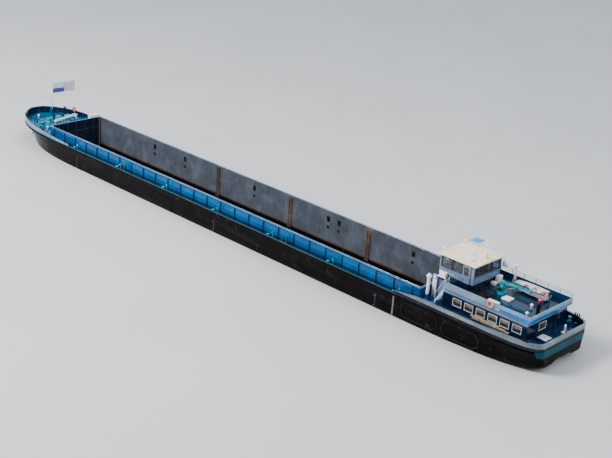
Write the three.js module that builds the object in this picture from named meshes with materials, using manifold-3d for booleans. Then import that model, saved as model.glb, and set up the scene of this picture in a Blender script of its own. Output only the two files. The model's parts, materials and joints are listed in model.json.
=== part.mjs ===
// Motor cargo barge for rivers and canals, 85 m long, as a 1:10 scale model.
// Every size is in metres of the full-size ship, with the origin on the flat bottom amidships:
// +X to the bow, +Y to port, +Z up. The finished group is scaled to millimetres at the end.

import * as THREE from 'three';
import { mergeVertices } from 'three/addons/utils/BufferGeometryUtils.js';
import Module from 'manifold-3d';

const MILLIMETRES_PER_METRE = 100;

// Air between neighbouring nodes, and how far the solids of one node reach into each other
const GAP = 0.003;
const OVERLAP = 0.02;

// Hull
const HULL_TOP = 3.45;
const DECK = 3.5;
const DECK_UNDERSIDE = HULL_TOP + GAP;
const SIDE_FLARE = 1.5;

// Hold
const HOLD_FORE = 33.0;
const HOLD_AFT = -28.5;
const HOLD_HALF_WIDTH = 3.8;
const DOUBLE_BOTTOM = 0.55;
const COAMING_TOP = 4.75;
const COAMING_WALL = 0.1;
const COAMING_FLANGE = 0.24;
const COAMING_FLANGE_DEPTH = 0.08;
const LADDER_PLACES = [8.9, -3.5, -15.4];
const LADDER_FOOT = DOUBLE_BOTTOM + 0.25;

// Bulwarks
const BULWARK_WALL = 0.08;
const BULWARK_CAP = 0.22;
const BULWARK_CAP_DEPTH = 0.07;
const FORE_BULWARK_START = 28.0;
const AFT_BULWARK_START = -26.0;

// Accommodation
const HOUSE_FORE = -30.9;
const HOUSE_AFT = -40.4;
const HOUSE_HALF_WIDTH = 3.3;
const HOUSE_WALL = 0.08;
const HOUSE_WALL_TOP = 5.5;
const HOUSE_ROOF = 5.6;
const ROOF_OVERHANG = 0.2;
const CURB_HEIGHT = 0.55;
const HOUSE_WINDOW_SILL = 4.15;
const HOUSE_WINDOW_HEAD = 4.8;

// Wheelhouse
const CABIN_FORE = -29.3;
const CABIN_AFT = -33.3;
const CABIN_HALF_WIDTH = 2.2;
const CABIN_WALL = 0.08;
const CABIN_WALL_TOP = 8.1;
const CABIN_FLOOR = 5.7;
const WINDOW_SILL = 6.95;
const WINDOW_HEAD = 7.9;
const CABIN_ROOF_EDGE = 8.2;
const CABIN_ROOF_TOP = 8.28;
const CABIN_ROOF_REACH = 0.22;
const CABIN_DOOR_FORE = -32.1;
const CABIN_DOOR_AFT = -32.9;

// Stern gear
const SHAFT_HEIGHT = 0.88;
const PROPELLER_X = -38.2;
const PROPELLER_RADIUS = 0.68;
const NOZZLE_BORE = 0.74;
const NOZZLE_RADIUS = 0.83;
const TUNNEL_TOP = 1.72;
const RUDDER_STOCK_X = -39.45;
const RUDDER_SPREAD = 0.6;

// Crane and dinghy
const CRANE_X = -35.3;
const CRANE_Y = 0.2;
const CRANE_HEADING = 12;
const CRANE_PIVOT = 6.75;
const BOOM_LENGTH = 2.9;
const DINGHY_Y = -1.95;

// Masts
const FORE_MAST_X = 38.5;
const FORE_MAST_PIVOT = 5.25;
const FORE_MAST_TOP = 8.7;
const AFT_MAST_X = -32.9;
const AFT_MAST_PIVOT = 8.6;
const AFT_MAST_TOP = 10.7;
const RADAR_X = -34.72;
const RADAR_Y = -2.7;
const RADAR_HEIGHT = 7.5;

// Sign board beyond the wheelhouse roof's starboard edge, laid flat on its fore-and-aft hinge
const SIGN_FORE = -29.3;
const SIGN_AFT = -30.3;
const SIGN_HINGE_Y = -2.5;
const SIGN_HINGE_HEIGHT = 8.38;
const SIGN_WIDTH = 1.0;

// Hull stations from stern to stem.
// x; height of the bottom; height of the bottom on the centreline; half-breadth at the bottom;
// bilge radius; half-breadth at the deck
const STATIONS = [
  { x: -42.5, keel: 1.75, tunnel: 2.0, bottom: 3.1, bilge: 0.3, deck: 3.4 },
  { x: -42.1, keel: 1.55, tunnel: 1.9, bottom: 3.4, bilge: 0.35, deck: 4.0 },
  { x: -41.2, keel: 1.3, tunnel: 1.78, bottom: 3.7, bilge: 0.4, deck: 4.4 },
  { x: -40.0, keel: 1.05, tunnel: TUNNEL_TOP, bottom: 3.95, bilge: 0.5, deck: 4.62 },
  { x: -37.4, keel: 0.55, tunnel: TUNNEL_TOP, bottom: 4.3, bilge: 0.6, deck: 4.74 },
  { x: -36.2, keel: 0.36, tunnel: 1.4, bottom: 4.4, bilge: 0.6, deck: 4.75 },
  { x: -34.8, keel: 0.18, tunnel: 0.95, bottom: 4.5, bilge: 0.6, deck: 4.75 },
  { x: -33.0, keel: 0.05, tunnel: 0.45, bottom: 4.65, bilge: 0.55, deck: 4.75 },
  { x: -31.0, keel: 0, tunnel: 0.12, bottom: 4.72, bilge: 0.5, deck: 4.75 },
  { x: -29.0, keel: 0, tunnel: 0, bottom: 4.75, bilge: 0.5, deck: 4.75 },
  { x: 26.0, keel: 0, tunnel: 0, bottom: 4.75, bilge: 0.5, deck: 4.75 },
  { x: 28.0, keel: 0, tunnel: 0, bottom: 4.72, bilge: 0.5, deck: 4.75 },
  { x: 30.0, keel: 0, tunnel: 0, bottom: 4.62, bilge: 0.55, deck: 4.75 },
  { x: 31.5, keel: 0, tunnel: 0, bottom: 4.48, bilge: 0.6, deck: 4.74 },
  { x: 33.0, keel: 0, tunnel: 0, bottom: 4.28, bilge: 0.7, deck: 4.68 },
  { x: 34.5, keel: 0, tunnel: 0, bottom: 4.0, bilge: 0.8, deck: 4.58 },
  { x: 36.0, keel: 0.02, tunnel: 0.02, bottom: 3.6, bilge: 0.9, deck: 4.42 },
  { x: 37.5, keel: 0.1, tunnel: 0.1, bottom: 3.1, bilge: 0.95, deck: 4.15 },
  { x: 39.0, keel: 0.35, tunnel: 0.35, bottom: 2.4, bilge: 1.0, deck: 3.7 },
  { x: 40.2, keel: 0.8, tunnel: 0.8, bottom: 1.8, bilge: 0.9, deck: 3.1 },
  { x: 41.2, keel: 1.4, tunnel: 1.4, bottom: 1.25, bilge: 0.7, deck: 2.35 },
  { x: 41.9, keel: 2.0, tunnel: 2.0, bottom: 0.8, bilge: 0.45, deck: 1.6 },
  { x: 42.3, keel: 2.5, tunnel: 2.5, bottom: 0.5, bilge: 0.3, deck: 1.0 },
  { x: 42.5, keel: 2.9, tunnel: 2.9, bottom: 0.3, bilge: 0.15, deck: 0.55 },
];

// Paints and materials: colour, roughness, metalness
const FINISHES = {
  hullBlack: [0x1c1d20, 0.6, 0.1],
  deckBlue: [0x0f6f9c, 0.55, 0.1],
  holdGrey: [0x525c68, 0.7, 0.2],
  paleGrey: [0x8e9ba8, 0.5, 0.1],
  houseBlue: [0x8698ad, 0.5, 0.05],
  cream: [0xeee3cc, 0.55, 0],
  white: [0xe9ebea, 0.5, 0],
  turquoise: [0x3fb2bd, 0.5, 0.1],
  signBlue: [0x1f8fe0, 0.5, 0],
  glass: [0x2a3c46, 0.1, 0],
  steel: [0x6f7478, 0.45, 0.7],
  bronze: [0xa8803c, 0.35, 0.9],
  rubber: [0x24262a, 0.9, 0],
  flagCloth: [0xd8dcec, 0.9, 0],
};

const wasm = await Module();
wasm.setup();

const barge = new THREE.Group();

// Solids

function solidOf(geometry) {
  const bare = geometry.clone();
  bare.deleteAttribute('normal');
  bare.deleteAttribute('uv');
  const welded = mergeVertices(bare, 1e-5);
  const positions = welded.attributes.position.array;
  const corners = [];
  for (let i = 0; i < welded.index.count; i += 3) {
    const [a, b, c] = [0, 1, 2].map((k) => welded.index.getX(i + k));
    if (a !== b && b !== c && c !== a) corners.push(a, b, c);
  }
  const mesh = new wasm.Mesh({
    numProp: 3,
    vertProperties: new Float32Array(positions),
    triVerts: new Uint32Array(corners),
  });
  return new wasm.Manifold(mesh);
}

function geometryOf(solid) {
  const mesh = solid.getMesh();
  const geometry = new THREE.BufferGeometry();
  geometry.setAttribute('position', new THREE.BufferAttribute(mesh.vertProperties, 3));
  geometry.setIndex(new THREE.BufferAttribute(mesh.triVerts, 1));
  geometry.computeVertexNormals();
  return geometry;
}

function join(...solids) {
  return solids.flat().reduce((sum, solid) => sum.add(solid));
}

function cut(body, ...tools) {
  return tools.flat().reduce((rest, tool) => rest.subtract(tool), body);
}

function block(x0, x1, y0, y1, z0, z1) {
  const box = new THREE.BoxGeometry(Math.abs(x1 - x0), Math.abs(y1 - y0), Math.abs(z1 - z0));
  box.translate((x0 + x1) / 2, (y0 + y1) / 2, (z0 + z1) / 2);
  return solidOf(box);
}

// A round bar between two points, or a cone frustum with a second radius.
function bar(from, to, radius, sides = 8, endRadius = radius) {
  const start = new THREE.Vector3(...from);
  const end = new THREE.Vector3(...to);
  const along = end.clone().sub(start);
  const geometry = new THREE.CylinderGeometry(endRadius, radius, along.length(), sides);
  const turn = new THREE.Quaternion().setFromUnitVectors(
    new THREE.Vector3(0, 1, 0),
    along.clone().normalize(),
  );
  geometry.applyQuaternion(turn);
  geometry.translate(...start.add(end).divideScalar(2));
  return solidOf(geometry);
}

// An outline of [a, b] points extruded along one axis.
// X takes the outline as (y, z), Y takes it as (x, z) and Z takes it as (x, y).
function prism(outline, axis, from, to) {
  const shape = new THREE.Shape(outline.map(([a, b]) => new THREE.Vector2(a, b)));
  const geometry = new THREE.ExtrudeGeometry(shape, {
    depth: Math.abs(to - from),
    bevelEnabled: false,
  });
  geometry.translate(0, 0, axis === 'Y' ? -Math.max(from, to) : Math.min(from, to));
  if (axis === 'X') {
    geometry.rotateX(Math.PI / 2);
    geometry.rotateZ(Math.PI / 2);
  }
  if (axis === 'Y') geometry.rotateX(Math.PI / 2);
  return solidOf(geometry);
}

// A closed skin over rings of equal point count, with flat ends.
function loft(rings) {
  const count = rings[0].length;
  const positions = rings.flat(2);
  const index = [];
  for (let r = 0; r + 1 < rings.length; r += 1) {
    for (let p = 0; p < count; p += 1) {
      const q = (p + 1) % count;
      const [a, b] = [r * count + p, r * count + q];
      index.push(a, b, b + count, a, b + count, a + count);
    }
  }
  const last = (rings.length - 1) * count;
  for (const [a, b, c] of capOf(rings[0])) index.push(b, a, c);
  for (const [a, b, c] of capOf(rings[rings.length - 1])) index.push(last + a, last + b, last + c);
  if (signedVolume(positions, index) < 0) index.reverse();
  const geometry = new THREE.BufferGeometry();
  geometry.setAttribute('position', new THREE.Float32BufferAttribute(positions, 3));
  geometry.setIndex(index);
  return solidOf(geometry);
}

// Triangles over a flat ring, seen along its own normal so that their turn follows the ring's.
function capOf(ring) {
  const points = ring.map((point) => new THREE.Vector3(...point));
  const total = points.reduce((sum, p) => sum.add(p), new THREE.Vector3());
  const centre = total.divideScalar(points.length);
  const normal = new THREE.Vector3();
  points.forEach((p, i) => {
    const next = points[(i + 1) % points.length];
    normal.add(p.clone().sub(centre).cross(next.clone().sub(centre)));
  });
  normal.normalize();
  const right = points[1].clone().sub(points[0]).normalize();
  const up = normal.clone().cross(right);
  const flat = points.map((p) => {
    const offset = p.clone().sub(centre);
    return new THREE.Vector2(offset.dot(right), offset.dot(up));
  });
  return THREE.ShapeUtils.triangulateShape(flat, []);
}

function signedVolume(positions, index) {
  const corner = (i) => new THREE.Vector3().fromArray(positions, 3 * i);
  let sum = 0;
  for (let i = 0; i < index.length; i += 3) {
    sum += corner(index[i]).dot(corner(index[i + 1]).cross(corner(index[i + 2])));
  }
  return sum;
}

function turned(solid, degrees, x, y) {
  const geometry = geometryOf(solid);
  geometry.rotateZ(THREE.MathUtils.degToRad(degrees));
  geometry.translate(x, y, 0);
  return solidOf(geometry);
}

function place(name, solid, finish) {
  const [color, roughness, metalness] = FINISHES[finish];
  const mesh = new THREE.Mesh(
    geometryOf(solid),
    new THREE.MeshStandardMaterial({ color, roughness, metalness }),
  );
  mesh.name = name;
  barge.add(mesh);
}

const SIDES = [
  { side: 'port', sign: 1 },
  { side: 'starboard', sign: -1 },
];

// Hull: lofted whole over its stations, then parted into its blocks

const FAR = 50;
const BELOW = -1;
const ABOVE = 10;
const TUNNEL_SHARES = { crown: 0.4, foot: 0.6 };
const BILGE_TURNS = [30, 60, 90];
const SIDE_SHARES = [0.35, 0.7, 1];
const SKEG = {
  outline: [[-31.5, 0.02], [-31.2, 0.4], [-37.4, 1.7], [-37.5, 0.5], [-36.8, 0.12]],
  half: 0.12,
};
const SHAFT_BOSS = { fore: -33.5, aft: PROPELLER_X + 0.45, radius: 0.2, endRadius: 0.16 };
const ENGINE_ROOM = { fore: -30.6, aft: -34.8, half: 4.0, floor: 1.2 };
const FOREPEAK = { fore: 36.6, aft: 35.8, port: -1.7, starboard: -2.5, floor: 1.8 };
const STEERING_FLAT = { fore: -40.9, aft: -41.7, port: 2.0, starboard: 1.2, floor: 2.4 };
const ANCHOR_POCKET = { fore: 39.2, aft: 37.9, depth: 2.5, low: 1.9, high: 2.95 };

function hullSection({ x, keel, tunnel, bottom, bilge, deck }) {
  const flat = bottom - bilge;
  const half = [
    [TUNNEL_SHARES.crown * flat, tunnel],
    [TUNNEL_SHARES.foot * flat, keel],
    [flat, keel],
  ];
  for (const angle of BILGE_TURNS) {
    const turn = THREE.MathUtils.degToRad(angle);
    half.push([flat + bilge * Math.sin(turn), keel + bilge * (1 - Math.cos(turn))]);
  }
  const bilgeTop = keel + bilge;
  for (const share of SIDE_SHARES) {
    half.push([
      bottom + (deck - bottom) * share ** SIDE_FLARE,
      bilgeTop + (HULL_TOP - bilgeTop) * share,
    ]);
  }
  const port = half.map(([y, z]) => [x, y, z]);
  const starboard = half.map(([y, z]) => [x, -y, z]).reverse();
  return [[x, 0, tunnel], ...port, ...starboard];
}

function skegAndBoss() {
  const { fore, aft, radius, endRadius } = SHAFT_BOSS;
  const boss = bar([fore, 0, SHAFT_HEIGHT], [aft, 0, SHAFT_HEIGHT], radius, 12, endRadius);
  return join(prism(SKEG.outline, 'Y', -SKEG.half, SKEG.half), boss);
}

function wellOf({ fore, aft, port, starboard, floor }) {
  return block(aft, fore, starboard, port, floor, ABOVE);
}

function anchorPocket(sign) {
  const { fore, aft, depth, low, high } = ANCHOR_POCKET;
  return block(aft, fore, sign * depth, sign * FAR, low, high);
}

function buildHull() {
  const hull = loft(STATIONS.map(hullSection));
  const { fore, aft, half, floor } = ENGINE_ROOM;
  const engineRoom = block(aft, fore, -half, half, floor, ABOVE);
  const stern = hull.intersect(block(-FAR, HOLD_AFT - GAP, -FAR, FAR, BELOW, ABOVE));
  place('aft_body', cut(join(stern, skegAndBoss()), engineRoom, wellOf(STEERING_FLAT)), 'hullBlack');

  const bow = hull.intersect(block(HOLD_FORE + GAP, FAR, -FAR, FAR, BELOW, ABOVE));
  const pockets = SIDES.map(({ sign }) => anchorPocket(sign));
  place('fore_body', cut(bow, wellOf(FOREPEAK), pockets), 'hullBlack');

  const middle = hull.intersect(block(HOLD_AFT, HOLD_FORE, -FAR, FAR, BELOW, ABOVE));
  for (const { side, sign } of SIDES) {
    const outer = block(-FAR, FAR, sign * HOLD_HALF_WIDTH, sign * FAR, BELOW, ABOVE);
    place(`side_tank_${side}`, middle.intersect(outer), 'hullBlack');
  }
  const inner = HOLD_HALF_WIDTH - GAP;
  const bottom = middle.intersect(block(-FAR, FAR, -inner, inner, BELOW, DOUBLE_BOTTOM));
  place('double_bottom', bottom, 'holdGrey');
}

// Decks

const BOLLARD = {
  halfLength: 0.5, halfWidth: 0.17, plate: 0.05, spread: 0.3,
  radius: 0.11, height: 0.42, headRadius: 0.14, headHeight: 0.47,
};
const FORE_BOLLARDS = [{ x: 39.3, y: 2.0 }, { x: 35.6, y: 3.6 }];
const AFT_BOLLARDS = [{ x: -41.2, y: 3.3 }, { x: -30.4, y: 4.3 }];
const SIDE_BOLLARDS = [{ name: 'fore', x: 17.0 }, { name: 'aft', x: -10.8 }];
const SIDE_BOLLARD_Y = 4.45;
const HATCH_HEIGHT = 0.35;
const HATCH_WALL = 0.08;
const MAST_FOOT = { half: 0.3, halfWidth: 0.35, height: 0.1, earHalf: 0.14, earInner: 0.13, earOuter: 0.2 };
const MAST_EAR_TOP = 0.16;
const GANGWAY = {
  x: 34.6, y: 0.5, heading: 16, halfLength: 2.18, halfWidth: 0.22,
  low: 4.87, deck: 4.95, railTop: 5.03, railWidth: 0.04,
};
const TRESTLE = { spread: 1.7, radius: 0.06, top: GANGWAY.low - 0.01 };
const VENTILATOR = { x: -29.2, y: 3.5, radius: 0.16, neck: 2.6, mouth: 0.3, crown: 0.12, top: 2.85 };

// Double bollard: a foot plate with two posts and their heads, in line with the ship.
function bollard(x, y, base = DECK - OVERLAP) {
  const { halfLength, halfWidth, plate, spread, radius, height, headRadius, headHeight } = BOLLARD;
  const foot = block(x - halfLength, x + halfLength, y - halfWidth, y + halfWidth, base, DECK + plate);
  const posts = [-spread, spread].flatMap((shift) => [
    bar([x + shift, y, DECK + OVERLAP], [x + shift, y, DECK + height], radius),
    bar([x + shift, y, DECK + height - OVERLAP], [x + shift, y, DECK + headHeight], headRadius),
  ]);
  return join(foot, posts);
}

function bollardPairs(places) {
  return SIDES.flatMap(({ sign }) => places.map(({ x, y }) => bollard(x, sign * y)));
}

function hatchCoaming({ fore, aft, port, starboard }) {
  return block(
    aft - HATCH_WALL, fore + HATCH_WALL, starboard - HATCH_WALL, port + HATCH_WALL,
    DECK - OVERLAP, DECK + HATCH_HEIGHT,
  );
}

function deckOutline() {
  const port = STATIONS.map(({ x, deck }) => [x, deck]);
  const starboard = STATIONS.map(({ x, deck }) => [x, -deck]).reverse();
  return [...port, ...starboard];
}

function deckPlate(fore, aft) {
  const plate = prism(deckOutline(), 'Z', DECK_UNDERSIDE, DECK);
  return plate.intersect(block(aft, fore, -FAR, FAR, 0, ABOVE));
}

function foreMastFoot() {
  const { half, halfWidth, height, earHalf, earInner, earOuter } = MAST_FOOT;
  const [aft, fore] = [FORE_MAST_X - half, FORE_MAST_X + half];
  const ears = SIDES.map(({ sign }) => block(
    FORE_MAST_X - earHalf, FORE_MAST_X + earHalf, sign * earInner, sign * earOuter,
    DECK, FORE_MAST_PIVOT + MAST_EAR_TOP,
  ));
  return join(block(aft, fore, -halfWidth, halfWidth, DECK - OVERLAP, DECK + height), ears);
}

function gangwayTrestles() {
  return SIDES.map(({ sign }) => {
    const y = sign * TRESTLE.spread;
    const leg = bar([0, y, DECK - OVERLAP], [0, y, TRESTLE.top], TRESTLE.radius, 6);
    return turned(leg, GANGWAY.heading, GANGWAY.x, GANGWAY.y);
  });
}

function buildForeDeck() {
  const deck = join(
    deckPlate(FAR, HOLD_FORE + GAP),
    foreMastFoot(),
    gangwayTrestles(),
    hatchCoaming(FOREPEAK),
    bollardPairs(FORE_BOLLARDS),
  );
  place('fore_deck', cut(deck, wellOf(FOREPEAK)), 'deckBlue');
}

function buildSideDecks() {
  for (const { side, sign } of SIDES) {
    const strip = block(-FAR, FAR, sign * HOLD_HALF_WIDTH, sign * FAR, 0, ABOVE);
    place(`side_deck_${side}`, deckPlate(HOLD_FORE, HOLD_AFT).intersect(strip), 'deckBlue');
    for (const { name, x } of SIDE_BOLLARDS) {
      const solid = bollard(x, sign * SIDE_BOLLARD_Y, DECK + GAP);
      place(`side_bollard_${name}_${side}`, solid, 'deckBlue');
    }
  }
}

function ventilator(sign) {
  const { x, radius, neck, mouth, crown, top } = VENTILATOR;
  const y = sign * VENTILATOR.y;
  return join(
    bar([x, y, DECK - OVERLAP], [x, y, DECK + neck], radius),
    bar([x, y, DECK + neck - OVERLAP], [x, y, DECK + top], mouth, 8, crown),
  );
}

function buildAftDeck() {
  const deck = join(
    deckPlate(HOLD_AFT - GAP, -FAR),
    hatchCoaming(STEERING_FLAT),
    SIDES.map(({ sign }) => ventilator(sign)),
    bollardPairs(AFT_BOLLARDS),
  );
  place('aft_deck', cut(deck, wellOf(STEERING_FLAT)), 'deckBlue');
}

// Coaming round the hold, one ring: walls with a flange along their top

// A block over the hold's opening that reaches past its edges.
function overHold(margin, low, high) {
  const half = HOLD_HALF_WIDTH + margin;
  return block(HOLD_AFT - margin, HOLD_FORE + margin, -half, half, low, high);
}

function buildCoaming() {
  const wall = overHold(COAMING_WALL, DECK + GAP, COAMING_TOP - OVERLAP);
  const flange = overHold(COAMING_FLANGE, COAMING_TOP - COAMING_FLANGE_DEPTH, COAMING_TOP);
  place('hold_coaming', cut(join(wall, flange), overHold(0, 0, ABOVE)), 'deckBlue');
}

// Bulwarks follow the deck's edge, a wall under a broad cap

const BULWARK_SETBACK = 0.04;
const BULWARK_CAP_LAP = 0.01;
const FORE_BULWARK = { foot: 0.3, rise: 0.6, run: 14.5 };
const AFT_BULWARK = { foot: 0.3, rise: 0.4, run: 3 };
const AFT_BULWARK_STATION = -29;

function bulwarkRing(edge, inward, top) {
  const wallInner = BULWARK_SETBACK + BULWARK_WALL;
  const under = top - BULWARK_CAP_DEPTH;
  const section = [
    [BULWARK_SETBACK, DECK + GAP], [BULWARK_SETBACK, under],
    [-BULWARK_CAP_LAP, under], [-BULWARK_CAP_LAP, top],
    [BULWARK_CAP, top], [BULWARK_CAP, under],
    [wallInner, under], [wallInner, DECK + GAP],
  ];
  return section.map(([depth, z]) => [edge.x + inward.x * depth, edge.y + inward.y * depth, z]);
}

function bulwark(stations, heightAt) {
  const port = stations.map(({ x, deck }) => new THREE.Vector2(x, deck));
  const starboard = stations.map(({ x, deck }) => new THREE.Vector2(x, -deck)).reverse();
  const path = [...port, ...starboard];
  const middle = new THREE.Vector2(stations[0].x, 0);
  const rings = path.map((edge, i) => {
    const before = path[Math.max(i - 1, 0)];
    const after = path[Math.min(i + 1, path.length - 1)];
    const along = after.clone().sub(before).normalize();
    const inward = new THREE.Vector2(-along.y, along.x);
    if (inward.dot(middle.clone().sub(edge)) < 0) inward.negate();
    return bulwarkRing(edge, inward, DECK + heightAt(edge.x));
  });
  return loft(rings);
}

function deckHalfBreadth(x) {
  const next = STATIONS.findIndex((station) => station.x > x);
  const [a, b] = [STATIONS[next - 1], STATIONS[next]];
  return a.deck + ((b.deck - a.deck) * (x - a.x)) / (b.x - a.x);
}

function buildBulwarks() {
  const fore = STATIONS.filter(({ x }) => x >= FORE_BULWARK_START);
  place('bulwark_fore', bulwark(fore, (x) => {
    const share = (x - FORE_BULWARK_START) / FORE_BULWARK.run;
    return FORE_BULWARK.foot + FORE_BULWARK.rise * share;
  }), 'paleGrey');

  const start = { x: AFT_BULWARK_START, deck: deckHalfBreadth(AFT_BULWARK_START) };
  const aft = [start, ...STATIONS.filter(({ x }) => x <= AFT_BULWARK_STATION).reverse()];
  place('bulwark_aft', bulwark(aft, (x) => {
    const share = Math.min(1, (AFT_BULWARK_START - x) / AFT_BULWARK.run);
    return AFT_BULWARK.foot + AFT_BULWARK.rise * share;
  }), 'paleGrey');
}

// Ladders on the hold's inner walls

const LADDER = {
  setback: 0.12, spread: 0.22, railHalf: 0.025, railDepth: 0.03, rungDepth: 0.018,
  rung: 0.036, pitch: 0.34, firstRung: 0.15, lugHalf: 0.245, lug: 0.06,
};
const LADDER_HEAD = COAMING_TOP - 0.05;
const LADDER_LUGS = [LADDER_FOOT + 0.25, (LADDER_FOOT + LADDER_HEAD) / 2, LADDER_HEAD - 0.3];

function holdLadder(x, sign) {
  const { spread, railHalf, railDepth, rungDepth, rung, lugHalf, lug } = LADDER;
  const plane = HOLD_HALF_WIDTH - LADDER.setback;
  const across = (depth) => [sign * (plane - depth), sign * (plane + depth)];
  const rails = [x - spread, x + spread].map((at) => block(
    at - railHalf, at + railHalf, ...across(railDepth), LADDER_FOOT, LADDER_HEAD,
  ));
  const rungs = [];
  for (let z = LADDER_FOOT + LADDER.firstRung; z < LADDER_HEAD; z += LADDER.pitch) {
    rungs.push(block(x - spread, x + spread, ...across(rungDepth), z, z + rung));
  }
  const lugs = LADDER_LUGS.map((z) => block(
    x - lugHalf, x + lugHalf, sign * plane, sign * (HOLD_HALF_WIDTH - GAP), z, z + lug,
  ));
  return join(rails, rungs, lugs);
}

function buildHoldLadders() {
  for (const { side, sign } of SIDES) {
    LADDER_PLACES.forEach((x, i) => {
      place(`hold_ladder_${side}_${i + 1}`, holdLadder(x, sign), 'steel');
    });
  }
}

// Bow gear

const WINDLASS_X = 37.2;
const WINDLASS_SHAFT = DECK + 0.72;
const WINDLASS = {
  bedHalf: 0.6, bedHalfWidth: 1.3, bedTop: 0.1, bore: 0.1, cheekHalf: 0.05,
  cheekFoot: 0.4, cheekHead: 0.14, cheekTop: 0.16,
};
const WINDLASS_CHEEKS = [-1.1, -0.35, 0.35, 1.1];
const WINDLASS_MOTOR = { aft: 0.58, fore: 0.36, halfWidth: 0.25, low: 0.05, high: 0.55 };
const WINDLASS_DRUMS = [
  { from: -1.75, to: 1.75, radius: 0.06 },
  { from: -0.95, to: -0.5, radius: 0.27 },
  { from: 0.5, to: 0.95, radius: 0.27 },
  { from: -0.2, to: 0.2, radius: 0.3 },
  { from: 1.25, to: 1.62, radius: 0.17 },
  { from: -1.62, to: -1.25, radius: 0.17 },
  { from: 1.6, to: 1.68, radius: 0.25 },
  { from: -1.68, to: -1.6, radius: 0.25 },
];

function buildWindlass() {
  const { bedHalf, bedHalfWidth, bedTop, bore, cheekHalf, cheekFoot, cheekHead, cheekTop } = WINDLASS;
  const x = WINDLASS_X;
  const cheek = [
    [x - cheekFoot, DECK + bedTop - OVERLAP], [x + cheekFoot, DECK + bedTop - OVERLAP],
    [x + cheekHead, WINDLASS_SHAFT + cheekTop], [x - cheekHead, WINDLASS_SHAFT + cheekTop],
  ];
  const cheeks = WINDLASS_CHEEKS.map((y) => prism(cheek, 'Y', y - cheekHalf, y + cheekHalf));
  const bed = block(x - bedHalf, x + bedHalf, -bedHalfWidth, bedHalfWidth, DECK + GAP, DECK + bedTop);
  const { aft, fore, halfWidth, low, high } = WINDLASS_MOTOR;
  const motor = block(x - aft, x - fore, -halfWidth, halfWidth, DECK + low, DECK + high);
  const shaft = bar([x, -2, WINDLASS_SHAFT], [x, 2, WINDLASS_SHAFT], bore, 12);
  place('windlass_frame', cut(join(bed, cheeks, motor), shaft), 'turquoise');

  const drum = WINDLASS_DRUMS.map(({ from, to, radius }) => bar(
    [x, from, WINDLASS_SHAFT], [x, to, WINDLASS_SHAFT], radius, 12,
  ));
  place('windlass_drum', join(drum), 'turquoise');
}

// Anchors against the back of their pockets: heights in the ship, depths from the pocket's back
const ANCHOR = {
  crown: { half: 0.5, depth: 0.3, low: 1.95, high: 2.17 },
  shank: { half: 0.07, near: 0.02, depth: 0.2, low: 2.1, high: 2.9 },
  fluke: { spread: 0.42, half: 0.09, near: 0.05, depth: 0.25, low: 2.1, high: 2.75 },
};

function anchor(sign) {
  const back = ANCHOR_POCKET.depth + GAP;
  const x = (ANCHOR_POCKET.fore + ANCHOR_POCKET.aft) / 2;
  const across = (near, depth) => [sign * (back + near), sign * (back + depth)];
  const { crown, shank, fluke } = ANCHOR;
  const flukes = [x - fluke.spread, x + fluke.spread].map((at) => prism(
    [[at - fluke.half, fluke.low], [at + fluke.half, fluke.low], [at, fluke.high]],
    'Y', ...across(fluke.near, fluke.depth),
  ));
  return join(
    block(x - crown.half, x + crown.half, ...across(0, crown.depth), crown.low, crown.high),
    block(x - shank.half, x + shank.half, ...across(shank.near, shank.depth), shank.low, shank.high),
    flukes,
  );
}

const LID = { rim: 0.1, plate: 0.05, crown: 0.09, inset: 0.1 };

function hatchLid({ fore, aft, port, starboard }) {
  const { rim, plate, crown, inset } = LID;
  const base = DECK + HATCH_HEIGHT + GAP;
  return join(
    block(aft - rim, fore + rim, starboard - rim, port + rim, base, base + plate),
    block(aft + inset, fore - inset, starboard + inset, port - inset, base + plate - 0.01, base + crown),
  );
}

const FORE_MAST = {
  below: 0.12, radius: 0.08, topRadius: 0.05, yard: 6.95, yardHalf: 1.6, yardRadius: 0.035,
  lampForward: 0.1, lampLow: 7.45, lampHigh: 7.7, lampRadius: 0.11, truck: 0.1,
};
const FLAG = { back: 0.08, thickness: 0.03 };
const FLAG_OUTLINE = [[-3.7, 7.2], [-0.1, 7.25], [-0.1, 8.6], [-3.7, 8.55]];

function buildForeMast() {
  const x = FORE_MAST_X;
  const { below, radius, topRadius, yard, yardHalf, yardRadius, truck } = FORE_MAST;
  const lampX = x + FORE_MAST.lampForward;
  place('mast_fore', join(
    bar([x, 0, FORE_MAST_PIVOT - below], [x, 0, FORE_MAST_TOP], radius, 8, topRadius),
    bar([x, -yardHalf, yard], [x, yardHalf, yard], yardRadius, 6),
    bar([lampX, 0, FORE_MAST.lampLow], [lampX, 0, FORE_MAST.lampHigh], FORE_MAST.lampRadius),
    bar([x, 0, FORE_MAST_TOP - truck], [x, 0, FORE_MAST_TOP + truck], truck),
  ), 'white');
  const hoist = x - FLAG.back;
  place('flag_fore', prism(FLAG_OUTLINE, 'X', hoist - FLAG.thickness, hoist), 'flagCloth');
}

function buildGangway() {
  const { x, y, heading, halfLength, halfWidth, low, deck, railTop, railWidth } = GANGWAY;
  const plank = block(-halfWidth, halfWidth, -halfLength, halfLength, low, deck);
  const rails = SIDES.map(({ sign }) => block(
    sign * halfWidth, sign * (halfWidth - railWidth), -halfLength, halfLength, deck - 0.01, railTop,
  ));
  place('gangway', turned(join(plank, rails), heading, x, y), 'white');
}

const BOW_LOCKER = { fore: 34.0, aft: 33.35, port: -2.6, starboard: -4.1, height: 1.5 };

function buildBowGear() {
  buildWindlass();
  for (const { side, sign } of SIDES) place(`anchor_${side}`, anchor(sign), 'rubber');
  place('forepeak_hatch', hatchLid(FOREPEAK), 'deckBlue');
  buildForeMast();
  buildGangway();
  const { fore, aft, port, starboard, height } = BOW_LOCKER;
  place('bow_locker', block(aft, fore, starboard, port, DECK + GAP, DECK + height), 'white');
}

// Wheelhouse

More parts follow.
